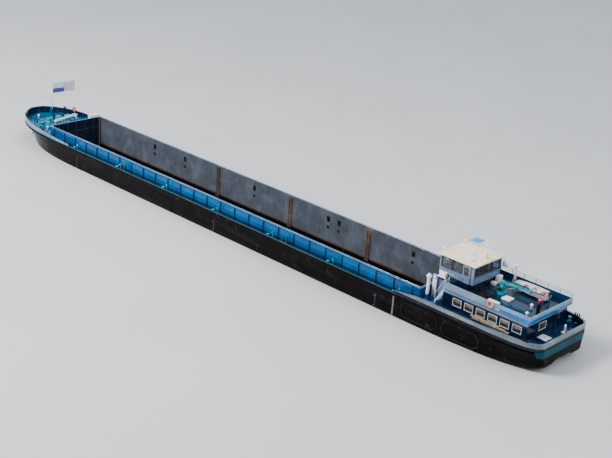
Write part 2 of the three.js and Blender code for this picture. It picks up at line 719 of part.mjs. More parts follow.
const CABIN_SIDE_WINDOWS = [
  { fore: -29.5, aft: -30.65 },
  { fore: -30.8, aft: -31.95 },
];
const CABIN_END_WINDOWS = [
  { port: 2.0, starboard: 0.75 },
  { port: 0.62, starboard: -0.62 },
  { port: -0.75, starboard: -2.0 },
];
const CABIN_BASE_HALF_WIDTH = 2.1;
const CABIN_LOCKER = { fore: -28.8, port: 2.3, starboard: -0.2, top: 5.55 };
const DOOR_RAIL = { aft: 0.1, fore: 0.9, reach: 0.13, low: 0.08, high: 0.14 };
const GLASS = { thickness: 0.02, lap: 0.05, doorGap: 0.03 };
const SLIDING_DOOR = { inner: 0.055, outer: 0.1, lap: 0.04, headLap: 0.05, stile: 0.1, rail: 0.12 };
const AFT_MAST_EAR = { half: 0.12, inner: 0.13, outer: 0.19, top: 0.12 };
const SIGN_EAR = { gap: 0.055, width: 0.05, out: 0.08, inward: 0.25, rise: 0.06 };

function wallsOf(fore, aft, halfWidth, wall, low, high) {
  const outer = block(aft, fore, -halfWidth, halfWidth, low, high);
  const inner = block(aft + wall, fore - wall, -halfWidth + wall, halfWidth - wall, BELOW, ABOVE);
  return cut(outer, inner);
}

// A cut through both side walls, or through both end walls.
function throughSides(fore, aft, low, high) {
  return block(aft, fore, -FAR, FAR, low, high);
}

function throughEnds({ port, starboard }, low, high) {
  return block(-FAR, 0, starboard, port, low, high);
}

function buildWheelhouseBase() {
  const half = CABIN_BASE_HALF_WIDTH;
  const shell = cut(
    block(HOUSE_FORE + GAP, CABIN_FORE, -half, half, DECK + GAP, HOUSE_ROOF),
    block(-FAR, CABIN_FORE - CABIN_WALL, -half + CABIN_WALL, half - CABIN_WALL, BELOW, ABOVE),
  );
  const { fore, port, starboard, top } = CABIN_LOCKER;
  const locker = block(CABIN_FORE - OVERLAP, fore, starboard, port, DECK + GAP, top);
  place('wheelhouse_base', join(shell, locker), 'houseBlue');
}

function buildWheelhouseWalls() {
  const half = CABIN_HALF_WIDTH;
  const walls = wallsOf(CABIN_FORE, CABIN_AFT, half, CABIN_WALL, HOUSE_ROOF + GAP, CABIN_WALL_TOP);
  const cuts = [
    ...CABIN_SIDE_WINDOWS.map(({ fore, aft }) => throughSides(fore, aft, WINDOW_SILL, WINDOW_HEAD)),
    ...CABIN_END_WINDOWS.map((window) => throughEnds(window, WINDOW_SILL, WINDOW_HEAD)),
    throughSides(CABIN_DOOR_FORE, CABIN_DOOR_AFT, CABIN_FLOOR + OVERLAP, WINDOW_HEAD),
  ];
  const rails = SIDES.map(({ sign }) => block(
    CABIN_DOOR_AFT - DOOR_RAIL.aft, CABIN_DOOR_FORE + DOOR_RAIL.fore,
    sign * (half - OVERLAP), sign * (half + DOOR_RAIL.reach),
    WINDOW_HEAD + DOOR_RAIL.low, WINDOW_HEAD + DOOR_RAIL.high,
  ));
  place('wheelhouse_walls', join(cut(walls, cuts), rails), 'houseBlue');

  const inset = CABIN_WALL + GAP;
  const glass = wallsOf(
    CABIN_FORE - inset, CABIN_AFT + inset, half - inset, GLASS.thickness,
    WINDOW_SILL - GLASS.lap, WINDOW_HEAD + GLASS.lap,
  );
  const ahead = throughSides(0, CABIN_DOOR_FORE + GLASS.doorGap, 0, ABOVE);
  const behind = throughSides(CABIN_DOOR_AFT - GLASS.doorGap, -FAR, 0, ABOVE);
  place('wheelhouse_glass_fore', glass.intersect(ahead), 'glass');
  place('wheelhouse_glass_aft', glass.intersect(behind), 'glass');
}

function slidingDoor(sign) {
  const { inner, outer, lap, headLap, stile, rail } = SLIDING_DOOR;
  const half = CABIN_HALF_WIDTH;
  const [aft, fore] = [CABIN_DOOR_AFT, CABIN_DOOR_FORE];
  const panel = block(
    aft - lap, fore + lap, sign * (half + inner), sign * (half + outer), CABIN_FLOOR, WINDOW_HEAD + headLap,
  );
  return cut(panel, throughSides(fore - stile, aft + stile, WINDOW_SILL, WINDOW_HEAD - rail));
}

function signEars() {
  const { gap, width, out, inward, rise } = SIGN_EAR;
  const [low, high] = [CABIN_WALL_TOP + 2 * GAP, SIGN_HINGE_HEIGHT + rise];
  return [SIGN_AFT - gap - width, SIGN_FORE + gap].map((aft) => block(
    aft, aft + width, SIGN_HINGE_Y - out, SIGN_HINGE_Y + inward, low, high,
  ));
}

function buildWheelhouseRoof() {
  const reach = CABIN_HALF_WIDTH + CABIN_ROOF_REACH;
  const low = CABIN_WALL_TOP + GAP;
  const roof = prism(
    [[-reach, low], [reach, low], [reach, CABIN_ROOF_EDGE], [0, CABIN_ROOF_TOP], [-reach, CABIN_ROOF_EDGE]],
    'X', CABIN_AFT - CABIN_ROOF_REACH, CABIN_FORE + CABIN_ROOF_REACH,
  );
  const { half, inner, outer, top } = AFT_MAST_EAR;
  const mastEars = SIDES.map(({ sign }) => block(
    AFT_MAST_X - half, AFT_MAST_X + half, sign * inner, sign * outer, CABIN_ROOF_EDGE, AFT_MAST_PIVOT + top,
  ));
  place('wheelhouse_roof', join(roof, mastEars, signEars()), 'cream');
}

const CONSOLE = [[-29.6, 0], [-29.6, 0.9], [-29.9, 0.95], [-30.5, 0.8], [-30.45, 0.7], [-30.1, 0]];
const CONSOLE_HALF_WIDTH = 1.3;
const CHAIR = {
  x: -31.2, stem: 0.06, seatHalf: 0.25, seatHalfWidth: 0.26, seatLow: 0.5, seatHigh: 0.64,
  backAft: 0.3, backFore: 0.2, backLow: 0.55, backHigh: 1.25,
};

function chair() {
  const { x, stem, seatHalf, seatHalfWidth, backAft, backFore } = CHAIR;
  const { seatLow, seatHigh, backLow, backHigh } = CHAIR;
  const [seat, seatTop, backFoot, backTop] = [seatLow, seatHigh, backLow, backHigh].map(
    (rise) => CABIN_FLOOR + rise,
  );
  return join(
    bar([x, 0, CABIN_FLOOR - OVERLAP], [x, 0, seatTop], stem),
    block(x - seatHalf, x + seatHalf, -seatHalfWidth, seatHalfWidth, seat, seatTop),
    block(x - backAft, x - backFore, -seatHalf, seatHalf, backFoot, backTop),
  );
}

function buildWheelhouseInside() {
  const inset = CABIN_WALL + 0.02;
  const half = CABIN_HALF_WIDTH - inset;
  const floor = block(CABIN_AFT + inset, CABIN_FORE - inset, -half, half, HOUSE_ROOF + GAP, CABIN_FLOOR);
  const outline = CONSOLE.map(([x, rise]) => [x, CABIN_FLOOR - OVERLAP + rise]);
  const console = prism(outline, 'Y', -CONSOLE_HALF_WIDTH, CONSOLE_HALF_WIDTH);
  place('wheelhouse_inside', join(floor, console, chair()), 'steel');
}

function buildWheelhouse() {
  buildWheelhouseBase();
  buildWheelhouseWalls();
  for (const { side, sign } of SIDES) place(`wheelhouse_door_${side}`, slidingDoor(sign), 'houseBlue');
  buildWheelhouseRoof();
  buildWheelhouseInside();
}

// Accommodation

const HOUSE_WINDOWS = { first: -32.6, pitch: 1.35, count: 6, half: 0.45 };
const HOUSE_AFT_WINDOW = { port: 1.3, starboard: 0.2 };
const HOUSE_DOORWAY = { port: -1.4, starboard: -2.2, low: DECK + 0.12, high: 5.35 };
const HOUSE_DOOR = { outer: 0.115, inner: 0.06, lap: 0.06, low: DECK + 0.1, high: 5.4 };
const HOUSE_DOOR_PANE = { port: -1.6, starboard: -2.0, low: 4.5, high: 5.0 };
const ROOF_AFT_EDGE = HOUSE_AFT - 0.3;
const CURB_WALL = 0.1;
const CRANE_PEDESTAL = { radius: 0.42, top: 5.9 };
const CHOCKS = { places: [-38.2, -36.3], half: 0.08, halfWidth: 0.55, top: 5.78 };

function buildDeckhouseWalls() {
  const [low, high] = [DECK + GAP, HOUSE_WALL_TOP];
  const walls = wallsOf(HOUSE_FORE, HOUSE_AFT, HOUSE_HALF_WIDTH, HOUSE_WALL, low, high);
  const atAftWall = throughSides(HOUSE_AFT + 1, -FAR, BELOW, ABOVE);
  const { first, pitch, count, half } = HOUSE_WINDOWS;
  const windows = Array.from({ length: count }, (_, i) => first - i * pitch).map((x) => throughSides(
    x + half, x - half, HOUSE_WINDOW_SILL, HOUSE_WINDOW_HEAD,
  ));
  const aftCuts = join(
    throughEnds(HOUSE_AFT_WINDOW, HOUSE_WINDOW_SILL, HOUSE_WINDOW_HEAD),
    throughEnds(HOUSE_DOORWAY, HOUSE_DOORWAY.low, HOUSE_DOORWAY.high),
  ).intersect(atAftWall);
  place('deckhouse_walls', cut(walls, windows, aftCuts), 'houseBlue');
}

function buildDeckhouseDoor() {
  const { outer, inner, lap, low, high } = HOUSE_DOOR;
  const { port, starboard } = HOUSE_DOORWAY;
  const door = block(HOUSE_AFT - outer, HOUSE_AFT - inner, starboard - lap, port + lap, low, high);
  const pane = throughEnds(HOUSE_DOOR_PANE, HOUSE_DOOR_PANE.low, HOUSE_DOOR_PANE.high);
  place('deckhouse_door', cut(door, pane), 'houseBlue');
}

function buildDeckhouseRoof() {
  const reach = HOUSE_HALF_WIDTH + ROOF_OVERHANG;
  const under = HOUSE_WALL_TOP + GAP;
  const slab = block(ROOF_AFT_EDGE, HOUSE_FORE, -reach, reach, under, HOUSE_ROOF);
  const curbTop = HOUSE_ROOF + CURB_HEIGHT;
  const curbs = [
    ...SIDES.map(({ sign }) => block(
      ROOF_AFT_EDGE, HOUSE_FORE, sign * (reach - CURB_WALL), sign * reach, under, curbTop,
    )),
    block(ROOF_AFT_EDGE, ROOF_AFT_EDGE + CURB_WALL, -reach, reach, under, curbTop),
  ];
  const foot = HOUSE_ROOF - OVERLAP;
  const { radius, top } = CRANE_PEDESTAL;
  const pedestal = bar([CRANE_X, CRANE_Y, foot], [CRANE_X, CRANE_Y, top], radius, 12);
  const { half, halfWidth } = CHOCKS;
  const chocks = CHOCKS.places.map((x) => block(
    x - half, x + half, DINGHY_Y - halfWidth, DINGHY_Y + halfWidth, foot, CHOCKS.top,
  ));
  place('deckhouse_roof', join(slab, curbs, pedestal, chocks), 'houseBlue');
}

const RAILING = {
  inset: 0.05, head: 1.0, radius: 0.028, fore: HOUSE_FORE - 0.3, aft: HOUSE_AFT - 0.25, bays: 7,
};

function roofRailing() {
  const { inset, radius, fore, aft, bays } = RAILING;
  const y = -(HOUSE_HALF_WIDTH + ROOF_OVERHANG - inset);
  const foot = HOUSE_ROOF + CURB_HEIGHT + GAP;
  const head = HOUSE_ROOF + RAILING.head;
  const posts = Array.from({ length: bays + 1 }, (_, i) => fore + ((aft - fore) * i) / bays).map(
    (x) => bar([x, y, foot], [x, y, head], radius, 6),
  );
  const rails = [head, (foot + head) / 2].map((z) => bar([fore, y, z], [aft, y, z], radius, 6));
  return join(posts, rails);
}

// Stairs from the side decks to the roof, one on each side of the wheelhouse
const STAIR = {
  foot: { x: -29.75, z: DECK + GAP }, head: { x: -30.87, z: HOUSE_ROOF - 0.15 },
  near: 2.45, far: 3.05, stringer: 0.16, stringerDrop: 0.2, half: 0.025,
  treads: 6, treadHalf: 0.11, tread: 0.02, rail: 0.025, postX: -30.8, railRise: 0.93,
};

function stairRail(y) {
  const { foot, head, rail, postX, railRise } = STAIR;
  const x = foot.x - STAIR.stringer / 2;
  return [
    bar([x, y, foot.z + 0.1], [x, y, foot.z + railRise + 0.02], rail, 6),
    bar([x, y, foot.z + railRise], [postX, y, head.z + railRise - 0.08], rail, 6),
    bar([postX, y, head.z - 0.1], [postX, y, head.z + railRise - 0.06], rail, 6),
  ];
}

function stair(sign) {
  const { foot, head, stringer, stringerDrop, half, treadHalf, tread } = STAIR;
  const [near, far] = [sign * STAIR.near, sign * STAIR.far];
  const stringers = [near, far].map((y) => prism(
    [[foot.x, foot.z], [foot.x - stringer, foot.z], [head.x, head.z - stringerDrop], [head.x, head.z]],
    'Y', y - half, y + half,
  ));
  const treads = Array.from({ length: STAIR.treads }, (_, i) => (i + 1) / (STAIR.treads + 1)).map((share) => {
    const x = foot.x - stringer / 2 + (head.x - foot.x + 0.07) * share;
    const z = foot.z + (head.z - foot.z) * share;
    return block(x - treadHalf, x + treadHalf, near, far, z - tread, z + tread);
  });
  return join(stringers, treads, stairRail(near), stairRail(far));
}

function buildAccommodation() {
  buildDeckhouseWalls();
  buildDeckhouseDoor();
  buildDeckhouseRoof();
  place('roof_railing', roofRailing(), 'paleGrey');
  for (const { side, sign } of SIDES) place(`stair_${side}`, stair(sign), 'white');
}

// Main engine, one plain block on the engine room's floor

const ENGINE = { aft: -34.3, fore: -31.3, halfWidth: 0.65, height: 1.6 };

function buildEngine() {
  const { aft, fore, halfWidth, height } = ENGINE;
  const floor = ENGINE_ROOM.floor + GAP;
  place('main_engine', block(aft, fore, -halfWidth, halfWidth, floor, floor + height), 'steel');
}

// Deck crane, built pointing along -X and then turned to its stowed heading

const CRANE_POST = { radius: 0.17, headHalf: 0.14, headHalfWidth: 0.35, headLow: 0.42, headHigh: 0.2 };
const CRANE_EAR = { half: 0.14, inner: 0.22, outer: 0.3, low: 0.35, high: 0.12 };
const CRANE_HOUSING = { aft: -0.1, fore: 0.42, halfWidth: 0.26, top: 6.3 };
const CRANE_LOWER_LUG = { aft: -0.38, fore: -0.1, inner: 0.085, outer: 0.125, low: 6.02, high: 6.2 };
const BOOM_OUTLINE = [[0.1, -0.08], [-BOOM_LENGTH, -0.03], [-BOOM_LENGTH, 0.12], [-1.4, 0.22], [0.1, 0.2]];
const BOOM_HALF_WIDTH = 0.16;
const BOOM_LUG = { aft: -1.23, fore: -1.07, inner: 0.06, outer: 0.1, drop: 0.28 };
const HOOK = { back: 0.12, drop: 0.25, radius: 0.06 };
const CYLINDER_FOOT = { x: -0.3, z: 6.1 };
const CYLINDER_HEAD = { x: -1.15, z: CRANE_PIVOT - 0.22 };
const BARREL = { from: -0.05, to: 0.8, radius: 0.065, boreFrom: 0.06, boreTo: 0.9, bore: 0.045 };
const ROD = { from: 0.08, to: 0.98, radius: 0.03 };

function craneTurned(solid) {
  return turned(solid, CRANE_HEADING, CRANE_X, CRANE_Y);
}

function lugPair({ aft, fore, inner, outer }, low, high) {
  return SIDES.map(({ sign }) => block(aft, fore, sign * inner, sign * outer, low, high));
}

function craneColumn() {
  const foot = CRANE_PEDESTAL.top + GAP;
  const { radius, headHalf, headHalfWidth, headLow, headHigh } = CRANE_POST;
  const { half, inner, outer } = CRANE_EAR;
  const ear = { aft: -half, fore: half, inner, outer };
  const { aft, fore, halfWidth, top } = CRANE_HOUSING;
  return join(
    bar([0, 0, foot], [0, 0, CRANE_PIVOT - headHigh], radius, 12),
    block(-headHalf, headHalf, -headHalfWidth, headHalfWidth, CRANE_PIVOT - headLow, CRANE_PIVOT - headHigh),
    block(aft, fore, -halfWidth, halfWidth, foot, top),
    lugPair(ear, CRANE_PIVOT - CRANE_EAR.low, CRANE_PIVOT + CRANE_EAR.high),
    lugPair(CRANE_LOWER_LUG, CRANE_LOWER_LUG.low, CRANE_LOWER_LUG.high),
  );
}

function craneBoom() {
  const outline = BOOM_OUTLINE.map(([x, rise]) => [x, CRANE_PIVOT + rise]);
  const hook = -BOOM_LENGTH + HOOK.back;
  return join(
    prism(outline, 'Y', -BOOM_HALF_WIDTH, BOOM_HALF_WIDTH),
    lugPair(BOOM_LUG, CRANE_PIVOT - BOOM_LUG.drop, CRANE_PIVOT),
    bar([hook, 0, CRANE_PIVOT - HOOK.drop], [hook, 0, CRANE_PIVOT], HOOK.radius),
  );
}

function buildCrane() {
  place('crane_column', craneTurned(craneColumn()), 'turquoise');
  place('crane_boom', craneTurned(craneBoom()), 'turquoise');

  const low = new THREE.Vector3(CYLINDER_FOOT.x, 0, CYLINDER_FOOT.z);
  const high = new THREE.Vector3(CYLINDER_HEAD.x, 0, CYLINDER_HEAD.z);
  const along = high.clone().sub(low).normalize();
  const at = (distance) => low.clone().addScaledVector(along, distance).toArray();
  const barrel = cut(
    bar(at(BARREL.from), at(BARREL.to), BARREL.radius, 10),
    bar(at(BARREL.boreFrom), at(BARREL.boreTo), BARREL.bore, 10),
  );
  place('crane_cylinder', craneTurned(barrel), 'steel');
  place('crane_rod', craneTurned(bar(at(ROD.from), at(ROD.to), ROD.radius)), 'steel');
}

// Dinghy on its chocks, an open flat-bottomed boat.
// x; half-breadth low and high; how far the bottom rises
const DINGHY_STATIONS = [
  { x: -39.0, low: 0.5, high: 0.66, rise: 0 },
  { x: -37.2, low: 0.55, high: 0.75, rise: 0 },
  { x: -36.0, low: 0.42, high: 0.66, rise: 0.04 },
  { x: -35.4, low: 0.16, high: 0.32, rise: 0.22 },
];
const DINGHY = { depth: 0.55, wall: 0.07, lowerShrink: 0.6, sheer: 0.3 };

function dinghyRings(shrink, floor, top) {
  const last = DINGHY_STATIONS.length - 1;
  return DINGHY_STATIONS.map(({ x, low, high, rise }, i) => {
    const [a, b] = [low - shrink * DINGHY.lowerShrink, high - shrink];
    let along = x;
    if (i === 0) along += shrink;
    if (i === last) along -= shrink;
    return [
      [along, DINGHY_Y - a, floor + rise], [along, DINGHY_Y + a, floor + rise],
      [along, DINGHY_Y + b, top + rise * DINGHY.sheer], [along, DINGHY_Y - b, top + rise * DINGHY.sheer],
    ];
  });
}

function buildDinghy() {
  const keel = CHOCKS.top + GAP;
  const { depth, wall } = DINGHY;
  const outer = loft(dinghyRings(0, keel, keel + depth));
  const inner = loft(dinghyRings(wall, keel + wall, keel + depth + wall));
  place('dinghy', cut(outer, inner), 'white');
}

// Masts, radar and sign board

const AFT_MAST = {
  below: 0.1, radius: 0.07, topRadius: 0.045, yard: 10.0, yardHalf: 0.8, yardRadius: 0.03,
  lamps: [9.55, 10.35], lampHeight: 0.2, lampRadius: 0.1,
};
const RADAR = {
  postRadius: 0.08, driveRadius: 0.16, driveLow: 0.32, driveHigh: 0.12, plateHalf: 0.25, plate: 0.04,
  spindle: 0.05, scannerHalf: 0.66, scannerDepth: 0.09, scannerLow: 0.02, scannerHigh: 0.12,
};
const DOME = { x: -33.62, y: -2.5, z: 7.42, radius: 0.36, armHalf: 0.04, armLow: 7.0, armHigh: 7.1 };

function buildAftMast() {
  const x = AFT_MAST_X;
  const { below, radius, topRadius, yard, yardHalf, yardRadius, lampHeight, lampRadius } = AFT_MAST;
  place('mast_aft', join(
    bar([x, 0, AFT_MAST_PIVOT - below], [x, 0, AFT_MAST_TOP], radius, 8, topRadius),
    bar([x, -yardHalf, yard], [x, yardHalf, yard], yardRadius, 6),
    AFT_MAST.lamps.map((z) => bar([x, 0, z], [x, 0, z + lampHeight], lampRadius)),
  ), 'white');
}

function dome() {
  const sphere = new THREE.SphereGeometry(DOME.radius, 14, 10);
  sphere.rotateX(Math.PI / 2);
  sphere.translate(DOME.x, DOME.y, DOME.z);
  return solidOf(sphere);
}

// The arm runs from the mast to the dome's stub.
function domeArm() {
  const { x, y, z, armHalf, armLow, armHigh } = DOME;
  const middle = (armLow + armHigh) / 2;
  return join(
    bar([RADAR_X, RADAR_Y, middle], [x, y, middle], (armHigh - armLow) / 2, 6),
    bar([x, y, armLow], [x, y, z], armHalf, 6),
  );
}

function buildRadar() {
  const [x, y, top] = [RADAR_X, RADAR_Y, RADAR_HEIGHT];
  const foot = HOUSE_ROOF + GAP;
  const { postRadius, driveRadius, driveLow, driveHigh, plateHalf, plate, spindle } = RADAR;
  place('radar_mast', join(
    bar([x, y, foot], [x, y, top - driveLow + OVERLAP], postRadius),
    bar([x, y, top - driveLow], [x, y, top - driveHigh], driveRadius, 10),
    block(x - plateHalf, x + plateHalf, y - plateHalf, y + plateHalf, foot, foot + plate),
    domeArm(),
    dome(),
  ), 'white');

  const { scannerHalf, scannerDepth, scannerLow, scannerHigh } = RADAR;
  const [low, high] = [top - scannerLow, top + scannerHigh];
  place('radar_scanner', join(
    bar([x, y, top - driveHigh + 0.01], [x, y, top], spindle),
    block(x - scannerDepth, x + scannerDepth, y - scannerHalf, y + scannerHalf, low, high),
  ), 'white');
}

const SIGN = { plate: 0.02, barrel: 0.04 };

function buildSignBoard() {
  const { plate, barrel } = SIGN;
  const z = SIGN_HINGE_HEIGHT;
  place('sign_board', join(
    block(SIGN_AFT, SIGN_FORE, SIGN_HINGE_Y - SIGN_WIDTH, SIGN_HINGE_Y, z - plate, z + plate),
    bar([SIGN_AFT, SIGN_HINGE_Y, z], [SIGN_FORE, SIGN_HINGE_Y, z], barrel),
  ), 'signBlue');
}

// Stern gear

// Radius and place along the shaft of the nozzle ring's section
const NOZZLE_PROFILE = [
  [NOZZLE_BORE + 0.05, 0.42], [NOZZLE_BORE, 0.25], [NOZZLE_BORE, -0.38],
  [NOZZLE_BORE + 0.04, -0.4], [NOZZLE_RADIUS, 0.3], [NOZZLE_RADIUS - 0.02, 0.42],
];
const HEADBOX = { aft: 0.3, fore: 0.35, halfWidth: 0.3, low: 0.78 };

function buildNozzle() {
  const profile = NOZZLE_PROFILE.map(([radius, along]) => new THREE.Vector2(radius, along));
  const ring = new THREE.LatheGeometry([...profile, profile[0]], 24);
  ring.rotateZ(-Math.PI / 2);
  ring.translate(PROPELLER_X, 0, SHAFT_HEIGHT);
  const corners = Array.from(ring.index.array);
  if (signedVolume(ring.attributes.position.array, corners) < 0) ring.setIndex(corners.reverse());
  const { aft, fore, halfWidth, low } = HEADBOX;
  const headbox = block(
    PROPELLER_X - aft, PROPELLER_X + fore, -halfWidth, halfWidth, SHAFT_HEIGHT + low, TUNNEL_TOP - GAP,
  );
  place('nozzle', join(solidOf(ring), headbox), 'hullBlack');
}

const HUB = { half: 0.22, radius: 0.1, foreRadius: 0.14 };
const BLADE = {
  count: 5, rootHalf: 0.08, root: 0.05, tipHalf: 0.2, tip: 0.45, thickness: 0.04, pitch: 55, drawn: 0.66,
};

function bladeOutline() {
  const { rootHalf, root, tipHalf, tip } = BLADE;
  const outline = new THREE.Shape();
  outline.moveTo(-rootHalf, root);
  outline.lineTo(-tipHalf, tip);
  outline.absarc(0, tip, tipHalf, Math.PI, 0, true);
  outline.lineTo(rootHalf, root);
  return outline;
}

function blade(turn) {
  const { thickness, pitch, drawn } = BLADE;
  const solid = new THREE.ExtrudeGeometry(bladeOutline(), {
    depth: thickness, bevelEnabled: false, curveSegments: 5,
  });
  solid.translate(0, 0, -thickness / 2);
  solid.rotateY(THREE.MathUtils.degToRad(pitch));
  solid.rotateX(Math.PI / 2 + turn);
  solid.scale(1, PROPELLER_RADIUS / drawn, PROPELLER_RADIUS / drawn);
  solid.translate(PROPELLER_X, 0, SHAFT_HEIGHT);
  return solidOf(solid);
}

function buildPropeller() {
  const { half, radius, foreRadius } = HUB;
  const [aft, fore] = [PROPELLER_X - half, PROPELLER_X + half];
  const hub = bar([aft, 0, SHAFT_HEIGHT], [fore, 0, SHAFT_HEIGHT], radius, 12, foreRadius);
  const blades = Array.from({ length: BLADE.count }, (_, i) => blade((i * 2 * Math.PI) / BLADE.count));
  place('propeller', join(hub, blades), 'bronze');
}

// Along from the stock and half thickness of the rudder's section, nose to tail
const RUDDER_SECTION = [[0.48, 0], [0.38, 0.07], [0.1, 0.1], [-0.85, 0.02]];
const RUDDER = { low: 0.15, high: 1.58, stockLow: 1.5, stock: 0.07 };

function rudder(sign) {
  const y = sign * RUDDER_SPREAD;
  const port = RUDDER_SECTION.map(([x, half]) => [RUDDER_STOCK_X + x, y + half]);
  const starboard = RUDDER_SECTION.slice(1).map(([x, half]) => [RUDDER_STOCK_X + x, y - half]);
  const { low, high, stockLow, stock } = RUDDER;
  return join(
    prism([...port, ...starboard.reverse()], 'Z', low, high),
    bar([RUDDER_STOCK_X, y, stockLow], [RUDDER_STOCK_X, y, TUNNEL_TOP - GAP], stock),
  );
}

function buildSternGear() {
  buildNozzle();
  buildPropeller();
  for (const { side, sign } of SIDES) place(`rudder_${side}`, rudder(sign), 'hullBlack');
  place('steering_hatch', hatchLid(STEERING_FLAT), 'deckBlue');
}

buildHull();
buildForeDeck();
buildSideDecks();
buildAftDeck();
buildCoaming();
buildBulwarks();
buildHoldLadders();
buildBowGear();
buildWheelhouse();
buildAccommodation();
buildEngine();
buildCrane();
buildDinghy();
buildAftMast();
buildRadar();
buildSignBoard();
buildSternGear();

barge.scale.setScalar(MILLIMETRES_PER_METRE);

export default barge;
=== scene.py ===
"""Looks of the 1:10 river barge: paint, glass, cloth and the small gear that the frame leaves out.

Sizes in the classes are in metres of the full-size ship, with the origin on the flat bottom
amidships, +X to the bow, +Y to port and +Z up. Every mesh is scaled to the model when it is placed.
"""

import json
import logging
import math
from dataclasses import dataclass
from enum import Enum
from functools import reduce
from typing import Sequence, Union

import bmesh
import bpy
from mathutils import Matrix, Vector

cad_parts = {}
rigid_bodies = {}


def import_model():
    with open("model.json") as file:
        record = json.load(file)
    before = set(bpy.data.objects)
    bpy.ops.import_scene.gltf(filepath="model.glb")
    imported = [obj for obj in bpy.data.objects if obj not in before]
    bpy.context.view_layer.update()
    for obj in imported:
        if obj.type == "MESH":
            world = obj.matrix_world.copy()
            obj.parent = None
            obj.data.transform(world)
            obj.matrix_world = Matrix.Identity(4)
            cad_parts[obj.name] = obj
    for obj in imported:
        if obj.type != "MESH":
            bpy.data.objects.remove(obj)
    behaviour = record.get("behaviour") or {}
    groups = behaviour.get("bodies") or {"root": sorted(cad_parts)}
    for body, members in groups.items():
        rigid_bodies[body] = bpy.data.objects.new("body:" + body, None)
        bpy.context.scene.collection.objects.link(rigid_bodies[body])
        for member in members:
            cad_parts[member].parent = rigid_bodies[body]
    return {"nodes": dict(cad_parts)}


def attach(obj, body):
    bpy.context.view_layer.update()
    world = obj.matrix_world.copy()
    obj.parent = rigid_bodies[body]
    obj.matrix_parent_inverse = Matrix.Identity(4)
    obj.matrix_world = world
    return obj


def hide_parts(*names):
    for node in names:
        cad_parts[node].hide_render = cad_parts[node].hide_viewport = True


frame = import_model()

LOG = logging.getLogger("barge")
SCALE = 0.1

Socket = bpy.types.NodeSocket
Pair = tuple[float, float]
Pairs = tuple[Pair, ...]
Point = tuple[float, float, float]
Colour = tuple[float, float, float]
Source = Union[Socket, float, Colour]


class Axis(Enum):
    """A ship axis as a unit vector."""

    LENGTH = (1.0, 0.0, 0.0)
    BREADTH = (0.0, 1.0, 0.0)
    HEIGHT = (0.0, 0.0, 1.0)

    @property
    def vector(self) -> Vector:
        """The axis as a vector."""
        return Vector(self.value)


class Side(Enum):
    """A side of the ship, with the sign of its Y."""

    PORT = 1
    STARBOARD = -1

    @property
    def label(self) -> str:
        """The side's name in piece names."""
        return self.name.lower()

    def y(self, distance: float) -> float:
        """The Y at a distance to this side of the centreline."""
        return self.value * distance


# Shading


class Facing(Enum):
    """Which way the faces of a painted zone look."""

    ANY = "any"
    UP = "up"
    INWARD = "inward"
    OUTWARD = "outward"


@dataclass(frozen=True)
class Zone:
    """A part of a painted node in its own colour, with its ranges in metres of the model."""

    colour: Colour
    along: Pair | None = None
    breadth: float | None = None
    height: Pair | None = None
    facing: Facing = Facing.ANY


